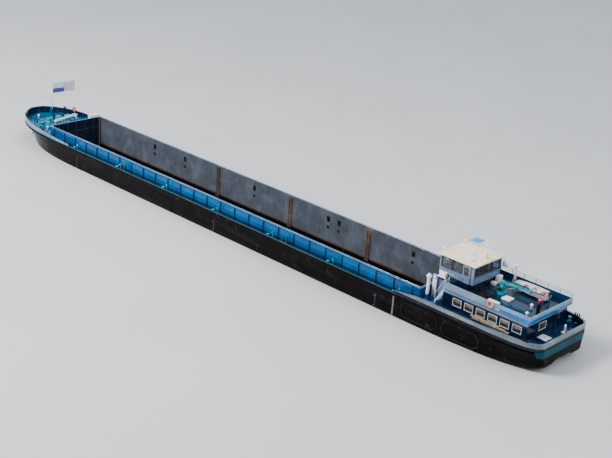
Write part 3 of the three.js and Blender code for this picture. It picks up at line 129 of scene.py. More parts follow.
class Shader:
    """One material's node tree, with short calls for the nodes that the finishes share."""

    def __init__(self, name: str) -> None:
        """Makes an empty material around one Principled surface.

        Args:
            name: the material's name.
        """
        self.material = bpy.data.materials.new(name)
        self.material.use_nodes = True
        self.tree = self.material.node_tree
        self.surface = self.tree.nodes["Principled BSDF"]
        self.coordinates = self.tree.nodes.new("ShaderNodeTexCoord")
        self.place = self.coordinates.outputs["Object"]
        self._parts = None

    def feed(self, socket: Socket, source: Source) -> None:
        """Links a socket, or sets its value.

        Args:
            socket: the input to set.
            source: another node's output, a number or a colour.
        """
        if isinstance(source, Socket):
            self.tree.links.new(source, socket)
        elif isinstance(source, tuple) and len(socket.default_value) == 4:
            socket.default_value = (*source, 1.0)
        else:
            socket.default_value = source

    def set(self, **values: Source) -> None:
        """Sets or links inputs of the surface.

        Args:
            values: input names in lower case with underscores, and what feeds them.
        """
        for name, source in values.items():
            self.feed(self.surface.inputs[name.replace("_", " ").title().replace("Ior", "IOR")], source)

    def axis(self, name: str) -> Socket:
        """The object coordinate along one axis, in metres of the model.

        Args:
            name: X, Y or Z.

        Returns:
            The coordinate's socket.
        """
        if self._parts is None:
            self._parts = self.tree.nodes.new("ShaderNodeSeparateXYZ")
            self.tree.links.new(self.place, self._parts.inputs[0])
        return self._parts.outputs[name]

    def upward(self) -> Socket:
        """How far the surface faces up.

        Returns:
            A value from -1 to 1.
        """
        split = self.tree.nodes.new("ShaderNodeSeparateXYZ")
        self.tree.links.new(self.coordinates.outputs["Normal"], split.inputs[0])
        return split.outputs["Z"]

    def outward(self) -> Socket:
        """How far the surface faces away from the ship's middle.

        Returns:
            A value that is below 0 where it faces towards the middle.
        """
        node = self.tree.nodes.new("ShaderNodeVectorMath")
        node.operation = "DOT_PRODUCT"
        self.tree.links.new(self.stretched((1.0, 1.0, 0.0)), node.inputs[0])
        self.tree.links.new(self.coordinates.outputs["Normal"], node.inputs[1])
        return node.outputs["Value"]

    def zone(self, zone: Zone) -> Socket:
        """1 inside a zone and 0 outside it.

        Args:
            zone: the zone.

        Returns:
            The share.
        """
        terms = []
        for name, bounds in (("X", zone.along), ("Z", zone.height)):
            if bounds:
                terms.append(self.maths("GREATER_THAN", self.axis(name), bounds[0]))
                terms.append(self.maths("LESS_THAN", self.axis(name), bounds[1]))
        if zone.breadth is not None:
            terms.append(self.maths("LESS_THAN", self.maths("ABSOLUTE", self.axis("Y"), 0.0), zone.breadth))
        if zone.facing is Facing.UP:
            terms.append(self.maths("GREATER_THAN", self.upward(), 0.7))
        elif zone.facing is Facing.INWARD:
            terms.append(self.maths("LESS_THAN", self.outward(), -0.03))
        elif zone.facing is Facing.OUTWARD:
            terms.append(self.maths("GREATER_THAN", self.outward(), 0.03))
        return reduce(lambda share, term: self.maths("MULTIPLY", share, term), terms)

    def stretched(self, stretch: Point) -> Socket:
        """Object coordinates scaled along each axis.

        Args:
            stretch: the scale of X, Y and Z.

        Returns:
            The scaled vector's socket.
        """
        mapping = self.tree.nodes.new("ShaderNodeMapping")
        self.tree.links.new(self.place, mapping.inputs["Vector"])
        mapping.inputs["Scale"].default_value = stretch
        return mapping.outputs["Vector"]

    def noise(self, scale: float, detail: float = 4.0, stretch: Point = (1.0, 1.0, 1.0),
              roughness: float = 0.55) -> Socket:
        """Cloudy noise on object coordinates.

        Args:
            scale: features for each metre of the model.
            detail: octaves.
            stretch: the scale of each axis, low along the way in which the noise runs.
            roughness: the share of each finer octave.

        Returns:
            The noise from 0 to 1.
        """
        node = self.tree.nodes.new("ShaderNodeTexNoise")
        self.tree.links.new(self.stretched(stretch), node.inputs["Vector"])
        node.inputs["Scale"].default_value = scale
        node.inputs["Detail"].default_value = detail
        node.inputs["Roughness"].default_value = roughness
        return node.outputs["Fac"]

    def bricks(self, plane: tuple[str, str], length: float, height: float,
               seam: float) -> Socket:
        """Plating seams as a brick pattern on two axes.

        Args:
            plane: the names of the axes along and across the plates.
            length: a plate's length in metres of the model.
            height: a plate's height in metres of the model.
            seam: the seam's width in metres of the model.

        Returns:
            1 on a seam and 0 between seams.
        """
        joined = self.tree.nodes.new("ShaderNodeCombineXYZ")
        self.tree.links.new(self.axis(plane[0]), joined.inputs["X"])
        self.tree.links.new(self.axis(plane[1]), joined.inputs["Y"])
        node = self.tree.nodes.new("ShaderNodeTexBrick")
        self.tree.links.new(joined.outputs[0], node.inputs["Vector"])
        node.inputs["Scale"].default_value = 1.0
        node.inputs["Brick Width"].default_value = length
        node.inputs["Row Height"].default_value = height
        node.inputs["Mortar Size"].default_value = seam
        node.inputs["Mortar Smooth"].default_value = 0.6
        return node.outputs["Fac"]

    def level(self, source: Source, low: float, high: float, top: float = 1.0) -> Socket:
        """Maps low to 0 and high to top, smoothly and clamped.

        Args:
            source: the value to map.
            low: the value that gives 0.
            high: the value that gives top.
            top: the greatest result.

        Returns:
            The mapped value.
        """
        node = self.tree.nodes.new("ShaderNodeMapRange")
        node.interpolation_type = "SMOOTHSTEP"
        self.feed(node.inputs["Value"], source)
        node.inputs["From Min"].default_value = low
        node.inputs["From Max"].default_value = high
        node.inputs["To Max"].default_value = top
        return node.outputs["Result"]

    def maths(self, operation: str, first: Source, second: Source) -> Socket:
        """One arithmetic step.

        Args:
            operation: the Math node's operation.
            first: the first operand.
            second: the second operand.

        Returns:
            The result, clamped from 0 to 1.
        """
        node = self.tree.nodes.new("ShaderNodeMath")
        node.operation = operation
        node.use_clamp = True
        self.feed(node.inputs[0], first)
        self.feed(node.inputs[1], second)
        return node.outputs[0]

    def mix(self, share: Source, first: Source, second: Source) -> Socket:
        """Mixes two colours.

        Args:
            share: 0 for the first and 1 for the second.
            first: a colour.
            second: a colour.

        Returns:
            The mixed colour.
        """
        node = self.tree.nodes.new("ShaderNodeMix")
        node.data_type = "RGBA"
        self.feed(node.inputs[0], share)
        self.feed(node.inputs[6], first)
        self.feed(node.inputs[7], second)
        return node.outputs[2]

    def relief(self, height: Socket, strength: float, depth: float) -> None:
        """Adds bump under the surface's normal, on top of any bump that it has.

        Args:
            height: the height from 0 to 1.
            strength: the bump's share.
            depth: the height's size in metres of the model.
        """
        node = self.tree.nodes.new("ShaderNodeBump")
        node.inputs["Strength"].default_value = strength
        node.inputs["Distance"].default_value = depth
        self.tree.links.new(height, node.inputs["Height"])
        normal = self.surface.inputs["Normal"]
        if normal.is_linked:
            self.tree.links.new(normal.links[0].from_socket, node.inputs["Normal"])
        self.tree.links.new(node.outputs["Normal"], normal)


@dataclass(frozen=True)
class Plating:
    """Welded plates: which axes they lie along, their size and their seams' width in model metres."""

    along: str
    across: str
    length: float
    height: float
    seam: float = 0.0016


@dataclass(frozen=True)
class Paint:
    """Weathered ship's paint on steel."""

    name: str
    slot: str
    colour: Colour
    faded: Colour
    grime: Colour = (0.05, 0.045, 0.04)
    rust: float = 0.25
    streaks: float = 0.4
    roughness: float = 0.5
    plating: Plating | None = None
    grain: float = 0.15
    zones: tuple[Zone, ...] = ()
    sheen: float = 0.5

    def body(self, shader: Shader) -> Socket:
        """The clean paint's colour, clouded by sun and wear.

        Args:
            shader: the material in the making.

        Returns:
            The colour.
        """
        cloud = shader.level(shader.noise(6.0, 6.0), 0.35, 0.68)
        return shader.mix(cloud, self.colour, self.faded)

    def zoned(self, shader: Shader, colour: Socket) -> Socket:
        """Lays the zones' colours over the paint's own.

        Args:
            shader: the material in the making.
            colour: the paint's own colour.

        Returns:
            The colour with its zones.
        """
        cloud = shader.level(shader.noise(5.0, 6.0), 0.4, 0.7)
        for zone in self.zones:
            worn = tuple(min(1.0, 1.4 * part) for part in zone.colour)
            colour = shader.mix(shader.zone(zone), colour, shader.mix(cloud, zone.colour, worn))
        return colour

    def material(self) -> bpy.types.Material:
        """Builds the paint with its grime, rust and relief.

        Returns:
            The material.
        """
        shader = Shader(self.name)
        colour = self.zoned(shader, self.body(shader))
        runs = shader.noise(60.0, 4.0, (1.0, 1.0, 0.1))
        patches = shader.noise(14.0, 7.0)
        dirt = shader.level(shader.maths("MULTIPLY", runs, patches), 0.22, 0.42, self.streaks)
        colour = shader.mix(dirt, colour, self.grime)
        corroded = shader.noise(90.0, 8.0, (1.0, 1.0, 0.35), 0.65)
        spread = shader.maths("MULTIPLY", corroded, shader.level(patches, 0.4, 0.7))
        rusty = shader.level(spread, 0.42 - 0.12 * self.rust, 0.6 - 0.12 * self.rust, min(1.0, 2 * self.rust))
        tone = shader.mix(shader.noise(120.0, 2.0), (0.16, 0.055, 0.02), (0.3, 0.12, 0.05))
        colour = shader.mix(rusty, colour, tone)
        shader.set(
            base_color=colour,
            roughness=shader.level(shader.maths("ADD", rusty, shader.maths("MULTIPLY", patches, 0.5)),
                                   0.0, 1.2, self.roughness * 1.7),
            specular_ior_level=self.sheen,
        )
        shader.relief(shader.noise(260.0, 2.0), self.grain, 0.0006)
        shader.relief(shader.noise(6.0, 2.0), 0.12, 0.004)
        if self.plating:
            seams = shader.bricks((self.plating.along, self.plating.across), self.plating.length,
                                  self.plating.height, self.plating.seam)
            shader.relief(seams, 0.6, 0.0009)
        return shader.material


@dataclass(frozen=True)
class HullPaint(Paint):
    """Black side paint, scuffed, with slime at the waterline and a dark red bottom."""

    waterline: float = 0.11
    slime: Colour = (0.018, 0.022, 0.014)
    bottom: Colour = (0.05, 0.022, 0.016)
    primer: Colour = (0.018, 0.017, 0.018)

    def body(self, shader: Shader) -> Socket:
        """The black side, scuffed along the ship and changing at the waterline.

        Args:
            shader: the material in the making.

        Returns:
            The colour.
        """
        colour = super().body(shader)
        scuffs = shader.level(shader.noise(9.0, 6.0, (0.12, 1.0, 2.2)), 0.52, 0.72, 0.75)
        colour = shader.mix(scuffs, colour, self.primer)
        height = shader.axis("Z")
        wavy = shader.maths("ADD", height, shader.maths("MULTIPLY", shader.noise(14.0, 4.0), 0.012))
        dry = shader.level(wavy, self.waterline + 0.012, self.waterline + 0.02)
        slimy = shader.maths("SUBTRACT", 1.0, dry)
        colour = shader.mix(slimy, colour, self.slime)
        above = shader.level(wavy, self.waterline - 0.012, self.waterline - 0.002)
        below = shader.maths("SUBTRACT", 1.0, above)
        return shader.mix(below, colour, self.bottom)


@dataclass(frozen=True)
class HoldPaint(Paint):
    """Grey hold paint, scraped by grabs."""

    scrape: Colour = (0.3, 0.3, 0.3)

    def body(self, shader: Shader) -> Socket:
        """The grey wall with long upright and level scrapes.

        Args:
            shader: the material in the making.

        Returns:
            The colour.
        """
        colour = super().body(shader)
        upright = shader.level(shader.noise(26.0, 5.0, (1.0, 1.0, 0.06)), 0.56, 0.74, 0.35)
        level = shader.level(shader.noise(22.0, 5.0, (0.05, 1.0, 1.0)), 0.58, 0.74, 0.3)
        colour = shader.mix(upright, colour, self.scrape)
        return shader.mix(level, colour, self.grime)


@dataclass(frozen=True)
class Metal:
    """Bare or galvanised metal."""

    name: str
    slot: str
    colour: Colour
    roughness: float = 0.35
    tarnish: Colour = (0.12, 0.09, 0.07)
    metallic: float = 1.0

    def material(self) -> bpy.types.Material:
        """Builds the metal with its tarnish.

        Returns:
            The material.
        """
        shader = Shader(self.name)
        dull = shader.level(shader.noise(38.0, 6.0), 0.5, 0.75, 0.7)
        shader.set(
            base_color=shader.mix(dull, self.colour, self.tarnish),
            metallic=self.metallic,
            roughness=shader.level(dull, -0.6, 1.0, self.roughness * 1.8),
        )
        shader.relief(shader.noise(300.0, 2.0, (0.2, 1.0, 1.0)), 0.1, 0.0004)
        return shader.material


@dataclass(frozen=True)
class Glazing:
    """Tinted window glass with a film of dust."""

    name: str
    slot: str
    tint: Colour
    clear: float = 0.95

    def material(self) -> bpy.types.Material:
        """Builds the glass.

        Returns:
            The material.
        """
        shader = Shader(self.name)
        dust = shader.level(shader.noise(24.0, 5.0), 0.5, 0.8, 0.15)
        shader.set(
            base_color=shader.mix(dust, self.tint, (0.3, 0.3, 0.28)),
            roughness=shader.level(dust, -0.1, 1.0, 0.3),
            ior=1.45,
            transmission_weight=self.clear,
        )
        return shader.material


@dataclass(frozen=True)
class Moulded:
    """Moulded plastic, rubber, leather or wood with a fine grain."""

    name: str
    slot: str
    colour: Colour
    worn: Colour
    roughness: float = 0.6
    grain: float = 180.0
    depth: float = 0.0005
    glow: float = 0.0

    def material(self) -> bpy.types.Material:
        """Builds the material with its wear and grain.

        Returns:
            The material.
        """
        shader = Shader(self.name)
        cloud = shader.level(shader.noise(18.0, 5.0), 0.4, 0.75)
        shader.set(
            base_color=shader.mix(cloud, self.colour, self.worn),
            roughness=self.roughness,
            emission_color=self.colour,
            emission_strength=self.glow,
        )
        shader.relief(shader.noise(self.grain, 3.0), 0.3, self.depth)
        return shader.material


@dataclass(frozen=True)
class Weave:
    """Woven cloth: a halved hoist and a plain fly on its UV map."""

    name: str
    slot: str
    hoist_top: Colour
    hoist_low: Colour
    fly: Colour
    threads: float = 160.0

    def material(self) -> bpy.types.Material:
        """Builds the cloth with its fields and threads.

        Returns:
            The material.
        """
        shader = Shader(self.name)
        cloth = shader.tree.nodes.new("ShaderNodeSeparateXYZ")
        shader.tree.links.new(shader.coordinates.outputs["UV"], cloth.inputs[0])
        upper = shader.level(cloth.outputs["Y"], 0.45, 0.47)
        beyond = shader.level(cloth.outputs["X"], 0.49, 0.51)
        field = shader.mix(beyond, shader.mix(upper, self.hoist_low, self.hoist_top), self.fly)
        soiled = shader.level(shader.noise(30.0, 4.0), 0.5, 0.8, 0.3)
        shader.set(base_color=shader.mix(soiled, field, (0.35, 0.33, 0.32)), roughness=0.85, sheen_weight=0.3)
        wave = shader.tree.nodes.new("ShaderNodeTexWave")
        wave.inputs["Scale"].default_value = self.threads
        shader.tree.links.new(shader.coordinates.outputs["UV"], wave.inputs["Vector"])
        shader.relief(wave.outputs["Fac"], 0.25, 0.0003)
        return shader.material


Finish = Union[Paint, Metal, Glazing, Moulded, Weave]


class Locker:
    """Keeps one material for each finish."""

    made: dict[str, bpy.types.Material] = {}

    @classmethod
    def take(cls, finish: Finish) -> bpy.types.Material:
        """The finish's material, made at its first use.

        Args:
            finish: the finish to build.

        Returns:
            The material.
        """
        if finish.name not in cls.made:
            cls.made[finish.name] = finish.material()
        return cls.made[finish.name]


NAVY = (0.008, 0.018, 0.045)
BLACK = (0.004, 0.0036, 0.004)
HOLD_GREY = (0.108, 0.122, 0.145)
GEAR_WHITE = (0.82, 0.83, 0.84)
HOLD_RUN = (-2.852, 3.302)
HOLD_HALF = 0.3805
SIDE_DECK_RUN = (-2.65, 3.05)

# Its zones: the hold's walls, their brown foot, the black one under it, the fore bulkhead darker than the
# walls as a painted shade on its aft-facing face, and the belt round the stern.
HULL = HullPaint("hull_black", "hull_paint", BLACK, (0.008, 0.007, 0.008), (0.012, 0.011, 0.01), rust=0.12,
                 streaks=0.3, roughness=0.42, sheen=0.12, plating=Plating("X", "Z", 0.62, 0.118), zones=(
                     Zone(HOLD_GREY, along=HOLD_RUN, breadth=HOLD_HALF, height=(0.056, 1.0)),
                     Zone((0.1, 0.065, 0.045), along=HOLD_RUN, breadth=HOLD_HALF, height=(0.054, 0.124)),
                     Zone((0.008, 0.006, 0.005), along=HOLD_RUN, breadth=HOLD_HALF, height=(0.054, 0.106)),
                     # painted shade: the aft-facing fore bulkhead darkened
                     Zone((0.02, 0.035, 0.055), along=(3.29, 3.302), breadth=HOLD_HALF),
                     Zone((0.012, 0.07, 0.1), along=(-4.5, -4.2), height=(0.275, 0.36)),
                 ))
SCUFFED = Paint("scuffed_black", "hull_paint", (0.014, 0.014, 0.015), (0.03, 0.03, 0.03), rust=0.2)
# Its zones: the side decks' outer strip; their inner strip in navy, a painted shade along the coaming's foot;
# the hold's faces; the aft deck, darkened as a painted shade; the aft deck's outer edge; the tall
# ventilators.
DECK_BLUE = Paint("deck_blue", "deck_paint", (0.004, 0.1, 0.25), (0.012, 0.18, 0.36), rust=0.08, streaks=0.3,
                  roughness=0.45, grain=0.4, zones=(
                      Zone((0.045, 0.1, 0.11), along=SIDE_DECK_RUN),
                      # painted shade: navy on the side deck along the coaming's foot
                      Zone((0.001, 0.018, 0.05), along=SIDE_DECK_RUN, breadth=0.454),
                      Zone(HOLD_GREY, along=(-2.851, 3.302), breadth=0.3807),
                      # painted shade: the aft deck darkened
                      Zone((0.005, 0.045, 0.11), along=(-4.26, -3.02)),
                      Zone(BLACK, along=(-4.3, -2.65), height=(0.3, 0.3505), facing=Facing.OUTWARD),
                      Zone(GEAR_WHITE, along=(-2.96, -2.88), height=(0.42, 1.0)),
                  ))
# Its zones: the flange on top, lighter partly for its paint and partly as a painted highlight where the top
# catches the sky; the hold's faces; the fore bulkhead in navy, a painted shade on its aft-facing face.
COAMING = Paint("coaming_blue", "deck_paint", (0.003, 0.1, 0.28), (0.008, 0.15, 0.36), rust=0.1, streaks=0.4,
                roughness=0.4, zones=(
                    # partly a painted highlight: the flange lighter where it catches the sky
                    Zone((0.06, 0.17, 0.33), height=(0.463, 0.48)),
                    Zone(HOLD_GREY, along=(-2.851, 3.29), breadth=0.3803),
                    # painted shade: navy on the fore coaming's aft-facing face
                    Zone(NAVY, along=(3.29, 3.301), breadth=0.3803),
                ))
# Pale grey-blue, partly its own paint and partly a painted highlight where the coaming's top edge catches the
# sky.
EDGE = Paint("worn_edge", "deck_paint", (0.14, 0.22, 0.3), (0.3, 0.33, 0.34), rust=0.4, streaks=0.3)
HOLD = HoldPaint("hold_grey", "hold_paint", (0.045, 0.05, 0.06), (0.075, 0.075, 0.08), rust=0.25, streaks=0.6,
                 roughness=0.6, plating=Plating("X", "Z", 0.6, 0.21))
RIBS = Paint("bulkhead_grey", "hold_paint", (0.03, 0.045, 0.065), (0.06, 0.075, 0.1), rust=0.1)
STREAKED = Paint("streaked_plate", "hold_paint", (0.12, 0.12, 0.12), (0.3, 0.24, 0.2), rust=0.7, streaks=0.8)
RIM = Paint("rail_grey", "bulwark_paint", (0.22, 0.28, 0.34), (0.32, 0.38, 0.44), rust=0.1, streaks=0.4)
# Its zones: the inner face in navy, a painted shade, and the outer face's foot.
STERN_RIM = Paint("stern_bulwark_grey", "bulwark_paint", (0.15, 0.19, 0.23), (0.23, 0.28, 0.32), rust=0.1,
                  streaks=0.4, zones=(
                      Zone(NAVY, facing=Facing.INWARD),
                      Zone(BLACK, height=(0.34, 0.376), facing=Facing.OUTWARD),
                  ))
# Its zone: the inner face in navy, a painted shade.
BOW_RIM = Paint("bow_bulwark_blue", "bulwark_paint", (0.1, 0.24, 0.36), (0.2, 0.36, 0.48), rust=0.1,
                streaks=0.4, zones=(Zone(NAVY, facing=Facing.INWARD),))
# Its blue-grey stands for white paint in shade, a painted shade. Its zones: the dark band over the quarters'
# roof and the locker before the wheelhouse.
HOUSE = Paint("house_blue", "house_paint", (0.17, 0.23, 0.34), (0.22, 0.29, 0.4), rust=0.05, streaks=0.3,
              roughness=0.4, zones=(
                  Zone(NAVY, height=(0.5605, 0.62)),
                  Zone((0.5, 0.6, 0.68), along=(-2.9295, -2.8), height=(0.35, 0.56)),
              ))
# Its zone: the outer walls' lower part in navy, a painted shadow of the roof's overhang over the windows.
QUARTERS = Paint("quarters_blue", "house_paint", (0.17, 0.23, 0.34), (0.22, 0.29, 0.4), rust=0.05,
                 streaks=0.3, roughness=0.4,
                 zones=(Zone(NAVY, height=(0.35, 0.507), facing=Facing.OUTWARD),))
# Its zones: the bright curb aft, its brighter blue partly paint and partly a painted highlight where the aft
# end is lit; the curb's inner face; the roof's top; and the crane's foot.
ROOF = Paint("roof_blue", "house_paint", (0.19, 0.26, 0.38), (0.25, 0.34, 0.46), rust=0.05, streaks=0.3,
             roughness=0.4, zones=(
                 Zone((0.012, 0.17, 0.4), along=(-4.08, -3.74), height=(0.545, 0.582), facing=Facing.OUTWARD),
                 Zone((0.006, 0.06, 0.13), facing=Facing.INWARD),
                 Zone((0.006, 0.035, 0.07), height=(0.5, 0.5615), facing=Facing.UP),
                 Zone((0.02, 0.34, 0.4), along=(-3.58, -3.48), breadth=0.1, height=(0.561, 0.6)),
             ))
# Its warm cream stands for white paint in sunlight, a painted light on the wheelhouse's roof.
CREAM = Paint("roof_cream", "cream_paint", (0.9, 0.74, 0.5), (0.95, 0.86, 0.68), (0.5, 0.38, 0.25),
              rust=0.03, streaks=0.25)
WHITE = Paint("gear_white", "white_paint", GEAR_WHITE, (0.9, 0.9, 0.89), (0.4, 0.37, 0.33), rust=0.1,
              streaks=0.3, roughness=0.4)
TURQUOISE = Paint("machine_turquoise", "machine_paint", (0.02, 0.36, 0.42), (0.06, 0.5, 0.54), rust=0.1,
                  streaks=0.3, roughness=0.4)
SIGN = Paint("sign_blue", "sign_paint", (0.01, 0.3, 0.8), (0.03, 0.36, 0.85), rust=0.0, streaks=0.1)
FRAME = Paint("window_frame_pale", "house_paint", (0.5, 0.56, 0.6), (0.6, 0.64, 0.66), rust=0.1, streaks=0.3)
LADDER = Paint("ladder_rust", "ladder_steel", (0.12, 0.09, 0.07), (0.24, 0.18, 0.15), rust=0.7, streaks=0.4)
TAR = Paint("tarred_iron", "cast_iron", (0.012, 0.012, 0.013), (0.03, 0.026, 0.024), rust=0.3, streaks=0.3)
RED = Paint("signal_red", "machine_paint", (0.5, 0.02, 0.03), (0.6, 0.06, 0.06), rust=0.05, streaks=0.2)
MAGENTA = Paint("tank_magenta", "machine_paint", (0.42, 0.02, 0.12), (0.5, 0.06, 0.18), rust=0.05,
                streaks=0.2)
STEEL = Metal("bare_steel", "bare_steel", (0.5, 0.5, 0.5), 0.32)
BRONZE = Metal("propeller_bronze", "bronze", (0.6, 0.36, 0.13), 0.28, (0.12, 0.16, 0.1))
PANE = Glazing("window_glass", "window_glass", (0.8, 0.76, 0.7))
TRIM = Moulded("cabin_trim", "interior_trim", (0.09, 0.08, 0.075), (0.13, 0.12, 0.11), 0.7)
DARK_TRIM = Moulded("window_rubber", "cast_iron", (0.02, 0.016, 0.014), (0.04, 0.034, 0.03), 0.6)
LEATHER = Moulded("chair_leather", "interior_trim", (0.05, 0.03, 0.02), (0.08, 0.05, 0.04), 0.45, 90.0)
SCREEN = Moulded("console_screen", "interior_trim", (0.02, 0.12, 0.16), (0.03, 0.16, 0.2), 0.2,
                 grain=60.0, depth=0.0001, glow=0.4)
LAMP = Moulded("lamp_glass", "white_paint", (0.75, 0.75, 0.7), (0.85, 0.84, 0.78), 0.15, grain=60.0,
               depth=0.0001, glow=0.15)
SLATS = Moulded("pale_slats", "interior_trim", (0.7, 0.66, 0.58), (0.55, 0.5, 0.44), 0.6, 120.0)
BLUE_SLATS = Moulded("blue_slats", "interior_trim", (0.03, 0.2, 0.9), (0.04, 0.26, 0.95), 0.5, 120.0)
PLANK = Moulded("plank_wood", "interior_trim", (0.4, 0.3, 0.2), (0.58, 0.48, 0.36), 0.8, 90.0)
ORANGE = Moulded("lifebuoy_orange", "white_paint", (0.85, 0.28, 0.08), (0.9, 0.5, 0.3), 0.5, 80.0)
BOAT = Moulded("boat_shell", "dinghy_shell", (0.72, 0.73, 0.73), (0.6, 0.6, 0.58), 0.3, 60.0, 0.0002)
FLAG = Weave("flag_weave", "flag_cloth", (0.78, 0.79, 0.82), (0.1, 0.11, 0.33), (0.75, 0.62, 0.66))

NODE_FINISHES: dict[Finish, tuple[str, ...]] = {
    HULL: ("aft_body", "fore_body", "side_tank_port", "side_tank_starboard", "nozzle", "rudder_port",
           "rudder_starboard"),
    HOLD: ("double_bottom",),
    DECK_BLUE: ("fore_deck", "side_deck_port", "side_deck_starboard", "aft_deck", "forepeak_hatch",
                "side_bollard_fore_port", "side_bollard_fore_starboard",
                "side_bollard_aft_port", "side_bollard_aft_starboard"),
    COAMING: ("hold_coaming",),
    BOW_RIM: ("bulwark_fore",),
    STERN_RIM: ("bulwark_aft",),
    RIM: ("roof_railing",),
    TURQUOISE: ("windlass_frame", "windlass_drum", "crane_column", "crane_boom"),
    TAR: ("anchor_port", "anchor_starboard", "main_engine"),
    WHITE: ("mast_fore", "gangway", "bow_locker", "steering_hatch", "stair_port", "stair_starboard",
            "mast_aft", "radar_mast", "radar_scanner"),
    FLAG: ("flag_fore",),
    HOUSE: ("wheelhouse_base", "wheelhouse_walls", "wheelhouse_door_port", "wheelhouse_door_starboard"),
    QUARTERS: ("deckhouse_walls", "deckhouse_door"),
    ROOF: ("deckhouse_roof",),
    PANE: ("wheelhouse_glass_fore", "wheelhouse_glass_aft"),
    CREAM: ("wheelhouse_roof",),
    TRIM: ("wheelhouse_inside",),
    STEEL: ("crane_cylinder", "crane_rod"),
    BOAT: ("dinghy",),
    SIGN: ("sign_board",),
    BRONZE: ("propeller",),
    LADDER: tuple(f"hold_ladder_{side}_{number}" for side in ("port", "starboard") for number in (1, 2, 3)),
}


def finish_of(node: str) -> Finish:
    """The finish of a CAD node.

    Args:
        node: the node's name.

    Returns:
        The finish whose row names it.
    """
    return next(finish for finish, nodes in NODE_FINISHES.items() if node in nodes)


# Studio


@dataclass(frozen=True)
class Studio:
    """The camera at the photograph's standpoint, a pale floor at the waterline and soft light.

    Each light has a name, a place over the model, a power and a size.
    """

    eye: Point = (-87.51, 84.61, 49.44)
    aim: Point = (-9.62, 0.0, 3.56)
    lens: float = 66.95
    sensor: float = 36.0
    far_clip: float = 1000.0
    roll: float = 4.5
    waterline: float = 1.1
    floor_half: float = 3000.0
    floor_tone: Colour = (0.62, 0.62, 0.6)
    opening: tuple[float, float, float] = (-29.0, 33.5, 4.2)
    lights: tuple[tuple[str, Point, float, float], ...] = (
        ("key", (5.0, 11.0, 13.0), 2800.0, 6.0), ("fill", (-14.0, -2.0, 9.0), 450.0, 8.0),
    )
    sky: Colour = (0.82, 0.9, 1.0)
    sky_strength: float = 0.85

    def build(self) -> None:
        """Sets up the whole studio."""
        bpy.context.scene.view_settings.look = "AgX - Medium High Contrast"
        self.place_camera()
        self.lay_floor()
        self.hang_lights()

    def place_camera(self) -> None:
        """Makes the scene's camera."""
        data = bpy.data.cameras.new("camera")
        data.lens = self.lens
        data.sensor_width = self.sensor
        data.clip_end = self.far_clip
        camera = bpy.data.objects.new("camera", data)
        bpy.context.scene.collection.objects.link(camera)
        eye, aim = Vector(self.eye) * SCALE, Vector(self.aim) * SCALE
        turn = (aim - eye).to_track_quat("-Z", "Y").to_matrix().to_4x4()
        roll = Matrix.Rotation(math.radians(self.roll), 4, "Z")
        camera.matrix_world = Matrix.Translation(eye) @ turn @ roll
        bpy.context.scene.camera = camera

    def lay_floor(self) -> None:
        """Lays the floor at the waterline, open where the hold goes below it."""
        form = Form()
        aft, fore, half = self.opening
        place = Matrix.Translation(((aft + fore) / 2, 0.0, self.waterline))
        size = Matrix.Diagonal((fore - aft, 2 * half, 1.0, 1.0))
        bmesh.ops.create_grid(form.bm, x_segments=1, y_segments=1, size=0.5, matrix=place @ size)
        inner = form.bm.faces[:]
        made = bmesh.ops.extrude_edge_only(form.bm, edges=form.bm.edges[:])["geom"]
        outer = [item for item in made if isinstance(item, bmesh.types.BMVert)]
        for vert in outer:
            vert.co.x += math.copysign(self.floor_half, vert.co.x)
            vert.co.y += math.copysign(self.floor_half, vert.co.y)
        bmesh.ops.delete(form.bm, geom=inner, context="FACES")
        mesh = form.mesh("floor")
        floor = bpy.data.objects.new("floor", mesh)
        bpy.context.scene.collection.objects.link(floor)
        shader = Shader("floor")
        cloud = shader.level(shader.noise(0.5, 3.0), 0.3, 0.7)
        dusty = tuple(0.96 * part for part in self.floor_tone)
        shader.set(base_color=shader.mix(cloud, self.floor_tone, dusty), roughness=0.85)
        mesh.materials.append(shader.material)

    def hang_lights(self) -> None:
        """Hangs a broad key light to port, a fill from astern and a pale sky."""
        for name, place, power, size in self.lights:
            data = bpy.data.lights.new(name, "AREA")
            data.energy = power
            data.size = size
            light = bpy.data.objects.new(name, data)
            bpy.context.scene.collection.objects.link(light)
            light.location = place
            light.rotation_mode = "QUATERNION"
            light.rotation_quaternion = (-Vector(place)).to_track_quat("-Z", "Y")
        world = bpy.data.worlds.new("sky")
        bpy.context.scene.world = world
        world.use_nodes = True
        sky = world.node_tree.nodes["Background"]
        sky.inputs["Color"].default_value = (*self.sky, 1.0)
        sky.inputs["Strength"].default_value = self.sky_strength


# Mesh work


